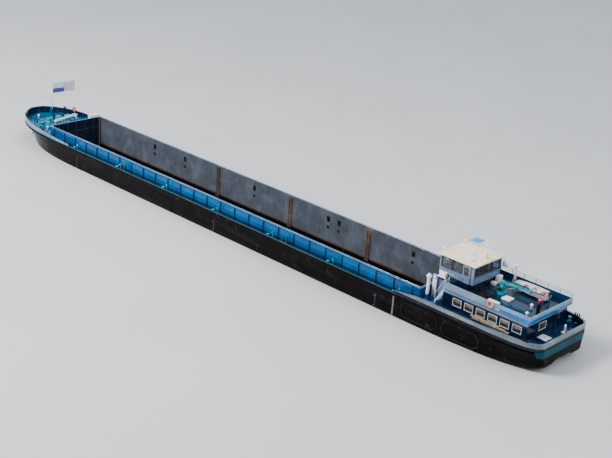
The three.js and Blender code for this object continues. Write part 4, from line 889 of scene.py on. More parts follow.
class Form:
    """A mesh in the making, in metres of the full-size ship, shaped by bmesh operators."""

    def __init__(self) -> None:
        """Starts an empty mesh."""
        self.bm = bmesh.new()

    def box(self, low: Point, high: Point, bevel: float = 0.0) -> "Form":
        """Adds a box.

        Args:
            low: one corner.
            high: the corner across from it.
            bevel: the width of its rounded edges.

        Returns:
            This form.
        """
        low, high = (Vector(corner) for corner in zip(*(sorted(pair) for pair in zip(low, high))))
        matrix = Matrix.Translation((low + high) / 2) @ Matrix.Diagonal((*(high - low), 1.0))
        verts = bmesh.ops.create_cube(self.bm, size=1.0, matrix=matrix)["verts"]
        if bevel:
            edges = list(dict.fromkeys(edge for vert in verts for edge in vert.link_edges))
            bmesh.ops.bevel(self.bm, geom=edges, offset=bevel, segments=2, affect="EDGES", profile=0.5,
                            material=-1)
        return self

    def rod(self, start: Point, end: Point, radius: float, end_radius: float | None = None,
            sides: int = 10) -> "Form":
        """Adds a round bar or a cone.

        Args:
            start: the middle of its first end.
            end: the middle of its last end.
            radius: the first end's radius.
            end_radius: the last end's radius, or None for the same.
            sides: facets round it.

        Returns:
            This form.
        """
        start, end = Vector(start), Vector(end)
        turn = (end - start).to_track_quat("Z", "Y").to_matrix().to_4x4()
        bmesh.ops.create_cone(self.bm, cap_ends=True, segments=sides, radius1=radius,
                              radius2=radius if end_radius is None else end_radius,
                              depth=(end - start).length,
                              matrix=Matrix.Translation((start + end) / 2) @ turn)
        return self

    def pipe(self, points: Sequence[Point], radius: float, sides: int = 8) -> "Form":
        """Adds a round pipe with mitred bends.

        Args:
            points: its centreline's corners.
            radius: its radius.
            sides: facets round it.

        Returns:
            This form.
        """
        path = [Vector(point) for point in points]
        along = (path[1] - path[0]).normalized()
        turn = along.to_track_quat("Z", "Y").to_matrix().to_4x4()
        ring = bmesh.ops.create_circle(self.bm, cap_ends=True, radius=radius, segments=sides,
                                       matrix=Matrix.Translation(path[0]) @ turn)["verts"]
        cap = ring[0].link_faces[0]
        for here, there, beyond in zip(path, path[1:], [*path[2:], None]):
            along = (there - here).normalized()
            onward = along if beyond is None else (along + (beyond - there).normalized()).normalized()
            made = bmesh.ops.extrude_face_region(self.bm, geom=[cap])["geom"]
            cap = next(item for item in made if isinstance(item, bmesh.types.BMFace))
            for vert in cap.verts:
                vert.co += along * ((there - vert.co).dot(onward) / along.dot(onward))
        return self

    def ball(self, centre: Point, radius: float, stretch: Point = (1.0, 1.0, 1.0), sides: int = 12) -> "Form":
        """Adds a ball or an egg.

        Args:
            centre: its middle.
            radius: its radius.
            stretch: its scale along each axis.
            sides: facets round it.

        Returns:
            This form.
        """
        matrix = Matrix.Translation(centre) @ Matrix.Diagonal((*stretch, 1.0))
        bmesh.ops.create_uvsphere(self.bm, u_segments=sides, v_segments=sides // 2 + 1, radius=radius,
                                  matrix=matrix)
        return self

    def turned(self, profile: Sequence[Pair], centre: Point, axis: Axis = Axis.HEIGHT,
               steps: int = 20) -> "Form":
        """Adds a profile spun into a closed round body.

        Args:
            profile: radius and distance along the axis; it closes itself, or meets the axis at both ends.
            centre: the point on the axis where the distance is 0.
            axis: the axis of the spin.
            steps: facets round it.

        Returns:
            This form.
        """
        along = axis.vector
        outward = Axis.BREADTH.vector if axis is Axis.LENGTH else Axis.LENGTH.vector
        verts = [self.bm.verts.new(Vector(centre) + outward * radius + along * distance)
                 for radius, distance in profile]
        loop = verts if profile[0][0] == 0.0 else [*verts, verts[0]]
        edges = [self.bm.edges.new(pair) for pair in zip(loop, loop[1:])]
        before = set(self.bm.verts) - set(verts)
        bmesh.ops.spin(self.bm, geom=[*verts, *edges], cent=centre, axis=along, angle=2 * math.pi,
                       steps=steps, use_merge=True)
        made = [vert for vert in self.bm.verts if vert not in before]
        bmesh.ops.remove_doubles(self.bm, verts=made, dist=1e-5)
        return self

    def ring(self, centre: Point, radius: float, thickness: float, axis: Axis = Axis.HEIGHT,
             steps: int = 20, sides: int = 8, stretch: Point = (1.0, 1.0, 1.0)) -> "Form":
        """Adds a round ring, or an oval one.

        Args:
            centre: its middle.
            radius: from its middle to the middle of its section.
            thickness: its section's radius.
            axis: the axis that it goes round.
            steps: facets round it.
            sides: facets of its section.
            stretch: its scale along each axis.

        Returns:
            This form.
        """
        before = set(self.bm.verts)
        angles = [2 * math.pi * number / sides for number in range(sides)]
        self.turned([(radius + thickness * math.cos(angle), thickness * math.sin(angle)) for angle in angles],
                    centre, axis, steps)
        if stretch != (1.0, 1.0, 1.0):
            bmesh.ops.scale(self.bm, vec=stretch, space=Matrix.Translation(-Vector(centre)),
                            verts=[vert for vert in self.bm.verts if vert not in before])
        return self

    def slab(self, outline: Sequence[Pair], axis: Axis, low: float, high: float) -> "Form":
        """Adds an outline extruded along an axis.

        Args:
            outline: its corners on the other two axes, in their order.
            axis: the way that it is extruded.
            low: where it starts on the axis.
            high: where it ends on the axis.

        Returns:
            This form.
        """
        place = {
            Axis.LENGTH: lambda a, b: (low, a, b),
            Axis.BREADTH: lambda a, b: (a, low, b),
            Axis.HEIGHT: lambda a, b: (a, b, low),
        }[axis]
        face = self.bm.faces.new([self.bm.verts.new(place(a, b)) for a, b in outline])
        made = bmesh.ops.extrude_face_region(self.bm, geom=[face])["geom"]
        moved = [item for item in made if isinstance(item, bmesh.types.BMVert)]
        bmesh.ops.translate(self.bm, vec=axis.vector * (high - low), verts=moved)
        return self

    def frame(self, low: Point, high: Point, width: float, axis: Axis) -> "Form":
        """Adds a flat frame of four bars round an opening.

        Args:
            low: the opening's lowest corner, on the frame's face at the wall.
            high: the opening's highest corner, on the frame's other face.
            width: the bars' width.
            axis: the way that the opening faces.

        Returns:
            This form.
        """
        flat = 0 if axis is Axis.BREADTH else 1
        for sign in (-1, 1):
            a, b = list(low), list(high)
            a[2], b[2] = (low[2] - width, low[2]) if sign < 0 else (high[2], high[2] + width)
            a[flat], b[flat] = low[flat] - width, high[flat] + width
            self.box(tuple(a), tuple(b))
            a, b = list(low), list(high)
            near, far = (low[flat] - width, low[flat]) if sign < 0 else (high[flat], high[flat] + width)
            a[flat], b[flat] = near, far
            self.box(tuple(a), tuple(b))
        return self

    def join(self, other: "Form", matrix: Matrix) -> "Form":
        """Adds another form's work, moved by a matrix.

        Args:
            other: the other form, used up by this.
            matrix: where it goes.

        Returns:
            This form.
        """
        bmesh.ops.transform(other.bm, matrix=matrix, verts=other.bm.verts)
        mesh = bpy.data.meshes.new("joined")
        other.bm.to_mesh(mesh)
        other.bm.free()
        self.bm.from_mesh(mesh)
        bpy.data.meshes.remove(mesh)
        return self

    def turn(self, degrees: float, axis: Axis, pivot: Point) -> "Form":
        """Turns all of the work about an axis.

        Args:
            degrees: the angle.
            axis: the axis.
            pivot: a point on the axis.

        Returns:
            This form.
        """
        bmesh.ops.rotate(self.bm, cent=pivot, matrix=Matrix.Rotation(math.radians(degrees), 3, axis.vector),
                         verts=self.bm.verts)
        return self

    def mesh(self, name: str, sharp: float = 35.0, scale: float = SCALE) -> bpy.types.Mesh:
        """Scales the work to the model and turns it into a mesh with soft rounds and crisp edges.

        Args:
            name: the mesh's name.
            sharp: edges that turn more than this many degrees stay crisp.
            scale: the model's size over the work's.

        Returns:
            The mesh.
        """
        bmesh.ops.scale(self.bm, vec=(scale,) * 3, verts=self.bm.verts)
        bmesh.ops.recalc_face_normals(self.bm, faces=self.bm.faces)
        limit = math.radians(sharp)
        for face in self.bm.faces:
            face.smooth = True
        for edge in self.bm.edges:
            edge.smooth = edge.is_manifold and edge.calc_face_angle(math.pi) < limit
        mesh = bpy.data.meshes.new(name)
        self.bm.to_mesh(mesh)
        self.bm.free()
        return mesh

    def place(self, name: str, finish: Finish, body: str = "hull", sharp: float = 35.0,
              scale: float = SCALE) -> bpy.types.Object:
        """Makes the work a piece on a body.

        Args:
            name: the piece's name.
            finish: what it is made of.
            body: the body that it rides.
            sharp: edges that turn more than this many degrees stay crisp.
            scale: the model's size over the work's.

        Returns:
            The piece.
        """
        piece = bpy.data.objects.new(name, self.mesh(name, sharp, scale))
        piece.data.materials.append(Locker.take(finish))
        bpy.context.scene.collection.objects.link(piece)
        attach(piece, body)
        LOG.info("%s: %d faces on %s", name, len(piece.data.polygons), body)
        return piece


def refine(node: str) -> bpy.types.Object:
    """Shows a CAD node by a merged copy that shades smoothly.

    Args:
        node: the node's name.

    Returns:
        The copy, which stands for the node.
    """
    source = frame["nodes"][node]
    form = Form()
    form.bm.from_mesh(source.data)
    bmesh.ops.remove_doubles(form.bm, verts=form.bm.verts, dist=2e-6)
    bmesh.ops.dissolve_limit(form.bm, angle_limit=math.radians(0.5), verts=form.bm.verts, edges=form.bm.edges)
    piece = form.place(f"{node}_skin", finish_of(node), source.parent.name.removeprefix("body:"), 30.0, 1.0)
    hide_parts(node)
    return piece


# The ship


DECK = 3.5
DECK_EDGE: Pairs = (
    (-42.5, 3.4), (-42.1, 4.0), (-41.2, 4.4), (-40.0, 4.62), (-37.4, 4.74), (-36.2, 4.75), (30.0, 4.75),
    (31.5, 4.74), (33.0, 4.68), (34.5, 4.58), (36.0, 4.42), (37.5, 4.15), (39.0, 3.7), (40.2, 3.1),
    (41.2, 2.35), (41.9, 1.6), (42.3, 1.0), (42.5, 0.55),
)


def deck_half(x: float) -> float:
    """The deck's half-breadth at a length.

    Args:
        x: the place along the ship.

    Returns:
        The distance from the centreline to the deck's edge.
    """
    for (x0, y0), (x1, y1) in zip(DECK_EDGE, DECK_EDGE[1:]):
        if x <= x1:
            return y0 + (y1 - y0) * (x - x0) / (x1 - x0)
    return DECK_EDGE[-1][1]


def places(first: float, last: float, count: int) -> list[float]:
    """Evenly spaced places, ends included.

    Args:
        first: the first place.
        last: the last place.
        count: how many.

    Returns:
        The places.
    """
    return [first + (last - first) * number / (count - 1) for number in range(count)]


def mushroom_vent(form: Form, foot: Point) -> None:
    """Adds a mushroom ventilator.

    Args:
        form: the work that it joins.
        foot: the middle of its foot.
    """
    form.turned([(0.0, 0.0), (0.08, 0.0), (0.08, 0.3), (0.17, 0.3), (0.17, 0.36), (0.1, 0.44), (0.0, 0.46)],
                foot, steps=16)


@dataclass(frozen=True)
class HullDetails:
    """Strakes, doubler frames, draught marks and ground tackle on the hull's outside."""

    half: float = 4.75
    strake_height: float = 3.3
    strake_radius: float = 0.07
    panels: Pairs = ((-31.6, -27.2), (-36.4, -32.2))
    panel_foot: float = 1.5
    panel_head: float = 3.0
    panel_corner: Pair = (0.5, 0.4)
    bead_radius: float = 0.03
    guard_aft: float = -26.3
    guard_width: float = 0.2
    mark_places: tuple[float, ...] = (-24.0, 0.0, 26.0)
    mark_count: int = 7
    mark_foot: float = 1.3
    mark_pitch: float = 0.2
    anchor_x: float = 38.55
    pocket_y: float = 2.62
    hawse_y: float = 2.3
    windlass_entry: Point = (37.42, 0.72, 4.4)
    chain_links: int = 19
    chain_sag: float = 0.1

    def build(self) -> None:
        """Makes all of the hull's details."""
        for side in Side:
            self.strake(side)
            self.panel_frames(side)
            self.draught_marks(side)
            self.hawse_collars(side)
            self.anchor_chain(side)

    def strake(self, side: Side) -> None:
        """Makes one side's rubbing strake along the deck's edge."""
        path = [(x, side.y(half), self.strake_height) for x, half in DECK_EDGE[1:-1]]
        Form().pipe(path, self.strake_radius).place(f"strake_{side.label}", HULL)

    def panel_frames(self, side: Side) -> None:
        """Makes the beads round one side's doubler plates aft and the guard strip before them.

        Args:
            side: the side of the ship.
        """
        form = Form()
        y = side.y(self.half + 0.005)
        foot, head = self.panel_foot, self.panel_head
        run, rise = self.panel_corner
        for aft, fore in self.panels:
            corners = ((aft + run, head), (fore - run, head), (fore, head - rise), (fore, foot + rise),
                       (fore - run, foot), (aft + run, foot), (aft, foot + rise), (aft, head - rise),
                       (aft + run, head))
            form.pipe([(x, y, z) for x, z in corners], self.bead_radius, sides=6)
        form.place(f"doubler_beads_{side.label}", SCUFFED)
        strip = Form().box((self.guard_aft, y, 1.2), (self.guard_aft + self.guard_width, 1.003 * y, 3.2),
                           bevel=0.004)
        strip.place(f"guard_strip_{side.label}", STREAKED)

    def draught_marks(self, side: Side) -> None:
        """Makes one side's ladders of draught bars, each fifth one longer.

        Args:
            side: the side of the ship.
        """
        form = Form()
        y = side.y(self.half)
        for x in self.mark_places:
            for number in range(self.mark_count):
                z = self.mark_foot + self.mark_pitch * number
                length = 0.3 if number % 5 == 0 else 0.16
                form.box((x, y, z), (x + length, 1.0015 * y, z + 0.05))
        form.place(f"draught_marks_{side.label}", STREAKED)

    def hawse_collars(self, side: Side) -> None:
        """Makes the collars of one side's hawse pipe, over the anchor's pocket and on the deck.

        Args:
            side: the side of the ship.
        """
        form = Form()
        pocket = side.y(self.pocket_y)
        form.ring((self.anchor_x, pocket, 2.93), 0.11, 0.03, steps=14)
        form.rod((self.anchor_x, pocket, 2.88), (self.anchor_x, pocket, 2.95), 0.1)
        form.ring((self.anchor_x, side.y(self.hawse_y), DECK + 0.02), 0.13, 0.04, steps=14)
        form.place(f"hawse_collars_{side.label}", TAR)

    def anchor_chain(self, side: Side) -> None:
        """Lays one chain over the fore deck from the hawse pipe to the windlass.

        Args:
            side: the side of the ship.
        """
        form = Form()
        start = Vector((self.anchor_x, side.y(self.hawse_y), DECK + 0.08))
        x, y, z = self.windlass_entry
        end = Vector((x, side.y(y), z))
        aim = (end - start).to_track_quat("X", "Z").to_matrix().to_4x4()
        for number in range(self.chain_links):
            share = (number + 0.5) / self.chain_links
            sag = self.chain_sag * math.sin(math.pi * share)
            centre = start.lerp(end, share) - Vector((0.0, 0.0, sag))
            link = Form().ring((0.0, 0.0, 0.0), 0.048, 0.018, steps=10, sides=5, stretch=(1.6, 1.0, 1.0))
            roll = Matrix.Rotation(math.radians(90 * (number % 2)), 4, "X")
            form.join(link, Matrix.Translation(centre) @ aim @ roll)
        form.place(f"anchor_chain_{side.label}", TAR)


@dataclass(frozen=True)
class HoldDetails:
    """What is welded on the coaming and on the hold's walls."""

    fore: float = 33.0
    aft: float = -28.5
    half: float = 3.8
    top: float = 4.75
    plate: float = 0.1
    flange: float = 0.23
    stay_count: int = 27
    post_count: int = 42
    rail_drop: float = 0.3
    corner_inset: float = 0.12
    rib_count: int = 5
    vent_count: int = 7
    vent_radius: float = 0.045
    ladders: tuple[float, ...] = (8.9, -3.5, -15.4)
    recesses: tuple[float, ...] = (21.2, 15.2, 2.6, -9.4, -11.0, -21.6)
    recess_rows: tuple[tuple[float, float, float], ...] = ((0.22, 3.5, 4.1), (0.16, 2.7, 3.0))

    def build(self) -> None:
        """Makes all of the hold's details."""
        for side in Side:
            self.stays(side)
            self.wear_strips(side)
            self.recess_plates(side)
            self.tank_vents(side)
            self.grab_rail(side)
        self.edge_bars()
        self.corner_posts()
        self.bulkhead_ribs()

    def stays(self, side: Side) -> None:
        """Makes one side's upright stays under the coaming's flange.

        Args:
            side: the side of the ship.
        """
        form = Form()
        inner, outer = self.half + self.plate, self.half + self.flange
        foot, head = DECK + 0.01, self.top - 0.09
        outline = [(side.y(inner), foot), (side.y(outer + 0.06), foot), (side.y(outer + 0.06), foot + 0.08),
                   (side.y(outer), head), (side.y(inner), head)]
        for x in places(self.aft + 0.8, self.fore - 0.8, self.stay_count):
            form.slab(outline, Axis.LENGTH, x - 0.02, x + 0.02)
        form.place(f"coaming_stays_{side.label}", COAMING)

    def edge_bars(self) -> None:
        """Makes the round bar along the coaming's inner top edge, its pale grey-blue partly a painted
        highlight where it catches the sky.
        """
        form = Form()
        inset, radius = 0.03, 0.04
        y = self.half + inset
        for side in Side:
            form.rod((self.aft, side.y(y), self.top), (self.fore, side.y(y), self.top), radius)
        for x in (self.aft - inset, self.fore + inset):
            form.rod((x, -y, self.top), (x, y, self.top), radius)
        form.place("coaming_edge_bar", EDGE)

    def wear_strips(self, side: Side) -> None:
        """Makes the streaked plates behind one side's ladders.

        Args:
            side: the side of the ship.
        """
        form = Form()
        y = side.y(self.half - 0.004)
        for x in self.ladders:
            form.box((x - 0.42, y, 1.7), (x + 0.42, 0.997 * y, self.top - 0.02), bevel=0.003)
        form.place(f"ladder_plates_{side.label}", STREAKED)

    def recess_plates(self, side: Side) -> None:
        """Makes the climbing recesses high on one side's wall as dark plates, a painted shade for their
        hollows.

        Args:
            side: the side of the ship.
        """
        form = Form()
        y = side.y(self.half - 0.002)
        for x in self.recesses:
            for half, foot, head in self.recess_rows:
                form.box((x - half, y, foot), (x + half, 0.994 * y, head), bevel=0.01)
        form.place(f"wall_recesses_{side.label}", TAR)

    def corner_posts(self) -> None:
        """Makes the round posts in the hold's four corners."""
        form = Form()
        for side in Side:
            y = side.y(self.half - self.corner_inset)
            for x in (self.aft + self.corner_inset, self.fore - self.corner_inset):
                form.rod((x, y, 0.56), (x, y, self.top - 0.01), 0.11, sides=12)
        form.place("hold_corner_posts", LADDER)

    def bulkhead_ribs(self) -> None:
        """Makes flat ribs on both bulkheads."""
        form = Form()
        for x, inward in ((self.fore, -0.06), (self.aft, 0.06)):
            for y in places(-2.7, 2.7, self.rib_count):
                form.box((x, y - 0.05, 0.6), (x + inward, y + 0.05, self.top - 0.1), bevel=0.008)
        form.place("bulkhead_ribs", RIBS)

    def tank_vents(self, side: Side) -> None:
        """Makes one side's goose-neck air pipes and round manholes on the side deck.

        Args:
            side: the side of the ship.
        """
        form = Form()
        y = side.y(self.half + 0.5)
        out = side.y(0.16)
        neck, lip = DECK + 0.42, DECK + 0.32
        for x in places(-26.5, 26.5, self.vent_count):
            form.pipe([(x, y, DECK), (x, y, neck), (x, y + 0.4 * out, neck + 0.1), (x, y + out, neck),
                       (x, y + out, lip)], self.vent_radius)
            manhole = (x + 0.7, y, DECK)
            form.turned([(0.0, 0.0), (0.2, 0.0), (0.2, 0.05), (0.17, 0.07), (0.0, 0.07)], manhole)
            form.ring((x + 0.7, y, DECK + 0.075), 0.07, 0.012, steps=12, sides=6)
        form.place(f"tank_vents_{side.label}", TURQUOISE)

    def grab_rail(self, side: Side) -> None:
        """Makes one side's grab rail under the coaming's outer edge.

        Args:
            side: the side of the ship.
        """
        form = Form()
        y = side.y(self.half + 0.25)
        rail = self.top - self.rail_drop
        for x in places(self.aft + 0.5, self.fore - 0.5, self.post_count):
            form.rod((x, y, rail), (x, y, self.top - 0.05), 0.015, sides=6)
        form.rod((self.aft + 0.3, y, rail), (self.fore - 0.3, y, rail), 0.022, sides=6)
        form.place(f"coaming_grab_rail_{side.label}", COAMING)


@dataclass(frozen=True)
class DeckDetails:
    """Small gear on the fore and aft decks and behind the bulwarks."""

    bulwark_wall: float = 0.14
    fairlead_places: Pairs = (
        (34.0, 4.06), (40.0, 4.31), (-31.5, 4.21), (-41.0, 4.21),
    )
    vent_places: Pairs = (
        (35.3, 2.9), (37.3, -3.0), (40.4, 0.9), (-41.7, -0.8),
    )
    forepeak_lid: Pair = (36.2, -2.1)
    steering_lid: Pair = (-41.3, 1.6)
    lid_height: float = 0.44
    band_heights: tuple[float, ...] = (4.5, 5.2, 5.72, 5.8, 5.88)
    ventilator: Pair = (-29.2, 3.5)
    winch_x: float = 37.0
    winch_low: float = 2.3
    winch_high: float = 3.2
    capstan: Pair = (-40.5, -3.9)
    locker_aft: float = 33.35
    locker_port: float = -2.6
    locker_doors: tuple[float, ...] = (-4.02, -3.32)

    def build(self) -> None:
        """Makes all of the deck gear."""
        for side in Side:
            self.stays(side)
            self.fairleads(side)
        self.mushroom_vents()
        self.hatch_gear("forepeak_lid_gear", "forepeak_lid", self.forepeak_lid)
        self.hatch_gear("steering_lid_gear", "steering_lid", self.steering_lid)
        self.ventilator_bands()
        self.mooring_gear()
        self.bow_locker_doors()

    def stay_height(self, x: float) -> float:
        """How high a bulwark stay reaches over the deck.

        Args:
            x: the stay's place along the ship.

        Returns:
            The height, which follows the bulwark's sheer.
        """
        if x > 0:
            return 0.2 + 0.6 * (x - 28.0) / 14.5
        return 0.2 + min(0.4, (-26.0 - x) * 0.13)

    def stays(self, side: Side) -> None:
        """Makes one side's bulwark stays at both ends of the ship.

        Args:
            side: the side of the ship.
        """
        form = Form()
        for first, last, count in ((29.5, 40.8, 10), (-27.0, -41.6, 12)):
            for x in places(first, last, count):
                wall = deck_half(x) - self.bulwark_wall
                foot, head = DECK + 0.01, DECK + self.stay_height(x)
                form.slab([(side.y(wall), foot), (side.y(wall - 0.3), foot), (side.y(wall - 0.05), head),
                           (side.y(wall), head)], Axis.LENGTH, x - 0.015, x + 0.015)
        form.place(f"bulwark_stays_{side.label}", DECK_BLUE)

    def fairleads(self, side: Side) -> None:
        """Makes one side's roller fairleads on the bulwark's cap.

        Args:
            side: the side of the ship.
        """
        form = Form()
        for x, top in self.fairlead_places:
            y = side.y(deck_half(x) - 0.12)
            for shift in (-0.22, 0.0, 0.22):
                form.turned([(0.0, 0.0), (0.09, 0.0), (0.055, 0.05), (0.055, 0.18), (0.09, 0.23),
                             (0.0, 0.23)], (x + shift, y, top), steps=12)
        form.place(f"fairleads_{side.label}", TAR)

    def mushroom_vents(self) -> None:
        """Makes the mushroom ventilators on the fore deck and the aft deck."""
        form = Form()
        for x, y in self.vent_places:
            mushroom_vent(form, (x, y, DECK))
        form.place("mushroom_vents", WHITE)

    def hatch_gear(self, name: str, body: str, centre: Pair) -> None:
        """Makes one hatch lid's grip and dogs.

        Args:
            name: the piece's name.
            body: the lid's body.
            centre: the lid's middle.
        """
        x, y = centre
        top = DECK + self.lid_height
        grip, reach = top + 0.07, 0.12
        form = Form().pipe([(x - reach, y, top - 0.01), (x - reach, y, grip), (x + reach, y, grip),
                            (x + reach, y, top - 0.01)], 0.015, sides=6)
        for dx in (-0.38, 0.38):
            for dy in (-0.3, 0.3):
                form.rod((x + dx, y + dy, top - 0.05), (x + dx, y + dy, top + 0.015), 0.03)
        form.place(name, STEEL, body)

    def ventilator_bands(self) -> None:
        """Makes the bands round the two tall ventilators at the hold's aft end."""
        form = Form()
        x, y = self.ventilator
        for side in Side:
            for z in self.band_heights:
                form.ring((x, side.y(y), z), 0.17, 0.02, steps=18, sides=6)
        form.place("ventilator_bands", WHITE)

    def mooring_gear(self) -> None:
        """Makes the mooring winch on the fore deck's port side and the capstan at the stern."""
        x, low, high = self.winch_x, self.winch_low, self.winch_high
        form = Form().box((x - 0.3, low, DECK), (x + 0.3, high, DECK + 0.08), bevel=0.01)
        foot, head = DECK + 0.07, DECK + 0.62
        for y in (low + 0.06, high - 0.06):
            form.slab([(x - 0.26, foot), (x + 0.26, foot), (x + 0.1, head), (x - 0.1, head)], Axis.BREADTH,
                      y - 0.04, y + 0.04)
        form.turned([(0.0, 0.1), (0.24, 0.1), (0.24, 0.14), (0.14, 0.14), (0.14, 0.7), (0.24, 0.7),
                     (0.24, 0.74), (0.0, 0.74)], (x, low + 0.03, DECK + 0.42), Axis.BREADTH)
        form.box((x - 0.14, low - 0.22, DECK + 0.2), (x + 0.14, low + 0.03, DECK + 0.56), bevel=0.03)
        form.turned([(0.0, 0.0), (0.24, 0.0), (0.24, 0.06), (0.13, 0.14), (0.12, 0.4), (0.2, 0.5),
                     (0.2, 0.56), (0.0, 0.6)], (*self.capstan, DECK))
        form.place("mooring_gear", TURQUOISE)

    def bow_locker_doors(self) -> None:
        """Makes the doors, grips, vent slats and lid of the bow locker."""
        form = Form()
        aft, port = self.locker_aft, self.locker_port
        for y in self.locker_doors:
            form.box((aft - 0.015, y, 3.68), (aft + 0.005, y + 0.62, 4.86), bevel=0.006)
            form.rod((aft - 0.05, y + 0.54, 4.2), (aft - 0.05, y + 0.54, 4.36), 0.014)
        for z in places(4.5, 4.8, 5):
            form.box((aft + 0.15, port - 0.005, z), (aft + 0.5, port + 0.02, z + 0.03))
        form.box((aft - 0.03, -4.13, 4.99), (aft + 0.68, port + 0.03, 5.03), bevel=0.01)
        form.place("bow_locker_doors", WHITE)


@dataclass(frozen=True)
class BowGear:
    """The windlass's fittings, the folding mast's lamp and stays, the flag and the stowed gear."""

    windlass_x: float = 37.2
    shaft: float = 4.22
    chain_laps: int = 4
    wheel_radius: float = 0.16
    mast_x: float = 38.5
    yard: float = 6.93
    lamp_low: float = 7.42
    lamp_high: float = 7.7
    flag_length: float = 3.6
    flag_height: float = 1.32
    flag_hoist: float = -0.1
    flag_middle: float = 7.93
    flag_ripple: float = 0.15
    flag_slack: float = 1.03
    gangway: Pair = (34.6, 0.5)
    gangway_heading: float = 16.0
    gangway_top: float = 4.95
    lifebuoy_place: Point = (38.4, -3.5, 4.45)

    def build(self) -> None:
        """Makes all of the bow gear."""
        self.windlass()
        self.windlass_controls()
        self.mast()
        self.flag()
        self.gangway_treads()
        self.lifebuoy()

    def windlass(self) -> None:
        """Makes what turns with the windlass's shaft: the laps of chain, the rims and the gear."""
        form = Form()
        x = self.windlass_x
        for side in Side:
            for lap in range(self.chain_laps):
                form.ring((x, side.y(0.58 + 0.095 * lap), self.shaft), 0.3, 0.035, Axis.BREADTH, 18, 6)
            form.ring((x, side.y(0.47), self.shaft), 0.33, 0.02, Axis.BREADTH, 20, 6)
        form.place("windlass_chain", TAR, "windlass")
        gear = Form().turned([(0.1, -0.04), (0.33, -0.04), (0.33, 0.04), (0.1, 0.04)], (x, 0.27, self.shaft),
                             Axis.BREADTH, 28)
        gear.place("windlass_gear", STEEL, "windlass")

    def windlass_controls(self) -> None:
        """Makes the windlass's brake wheels with their stands, and its motor cover."""
        form = Form()
        x, z, radius = self.windlass_x, DECK + 0.95, self.wheel_radius
        for side in Side:
            y = side.y(0.75)
            form.ring((x - 0.75, y, z), radius, 0.018, Axis.LENGTH, 18, 6)
            hub = Vector((x - 0.75, y, z))
            for angle in map(math.radians, (0.0, 60.0, 120.0)):
                reach = Vector((0.0, radius * math.cos(angle), radius * math.sin(angle)))
                form.rod(hub - reach, hub + reach, 0.01, sides=6)
            form.rod((x - 0.78, y, z), (x - 0.42, y, DECK + 0.6), 0.02)
            form.rod((x - 0.5, y, DECK + 0.1), (x - 0.5, y, DECK + 0.68), 0.03)
        form.box((x - 0.62, -0.29, DECK + 0.5), (x - 0.32, 0.29, DECK + 0.66), bevel=0.04)
        form.place("windlass_controls", WHITE)

    def mast(self) -> None:
        """Makes the bow mast's lamp with its two plates, and the yard's stays."""
        form = Form()
        x, fore = self.mast_x, self.mast_x + 0.1
        for z in (self.lamp_high, self.lamp_low):
            form.turned([(0.0, 0.0), (0.12, 0.0), (0.12, 0.03), (0.0, 0.03)], (fore, 0.0, z), steps=16)
        for side in Side:
            form.rod((x, side.y(1.5), self.yard), (x, side.y(0.06), 6.3), 0.012, sides=6)
            form.rod((x, side.y(0.9), self.yard), (x, side.y(0.09), 5.5), 0.008, sides=6)
        form.place("mast_fore_rigging", WHITE, "fore_mast")
        foot, head = self.lamp_low + 0.04, self.lamp_high - 0.01
        lamp = Form().rod((fore, 0.0, foot), (fore, 0.0, head), 0.115, sides=16)
        lamp.place("mast_fore_lamp", LAMP, "fore_mast")

    def flag(self) -> None:
        """Makes the flag as rippled cloth on the bow mast."""
        length, height, hoist = self.flag_length, self.flag_height, self.flag_hoist
        form = Form()
        form.bm.loops.layers.uv.new("cloth")
        size = Matrix.Diagonal((length / 2, height / 2, 1.0, 1.0))
        upright = Matrix.Rotation(math.radians(90), 4, "X") @ size
        bmesh.ops.create_grid(form.bm, x_segments=48, y_segments=10, size=1.0, calc_uvs=True,
                              matrix=Matrix.Rotation(math.radians(-90), 4, "Z") @ upright)
        middle = (self.mast_x - 0.09, hoist - length / 2, self.flag_middle)
        bmesh.ops.translate(form.bm, vec=middle, verts=form.bm.verts)
        for vert in form.bm.verts:
            out = (hoist - vert.co.y) / length
            vert.co.x += self.flag_ripple * out * math.sin(14.0 * out + 0.8 * vert.co.z)
            vert.co.z -= 0.05 * out * out
        bmesh.ops.solidify(form.bm, geom=form.bm.faces[:], thickness=0.012)
        flag = form.place("flag_fore_cloth", FLAG, "fore_mast", 60.0)
        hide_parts("flag_fore")

    def gangway_treads(self) -> None:
        """Makes the stowed gangway's treads."""
        (x, y), z = self.gangway, self.gangway_top
        form = Form()
        for along in places(-2.0, 2.0, 17):
            form.box((x - 0.18, y + along - 0.02, z), (x + 0.18, y + along + 0.02, z + 0.025), bevel=0.004)
        form.turn(self.gangway_heading, Axis.HEIGHT, (x, y, 0.0)).place("gangway_treads", STEEL)

    def lifebuoy(self) -> None:
        """Makes the red lifebuoy on its post behind the starboard bow bulwark."""
        x, y, z = self.lifebuoy_place
        Form().rod((x, y - 0.06, DECK), (x, y - 0.06, z), 0.03).place("bow_lifebuoy_post", WHITE)
        Form().ring((x, y, z), 0.29, 0.09, Axis.BREADTH, 24, 10).place("bow_lifebuoy", RED)


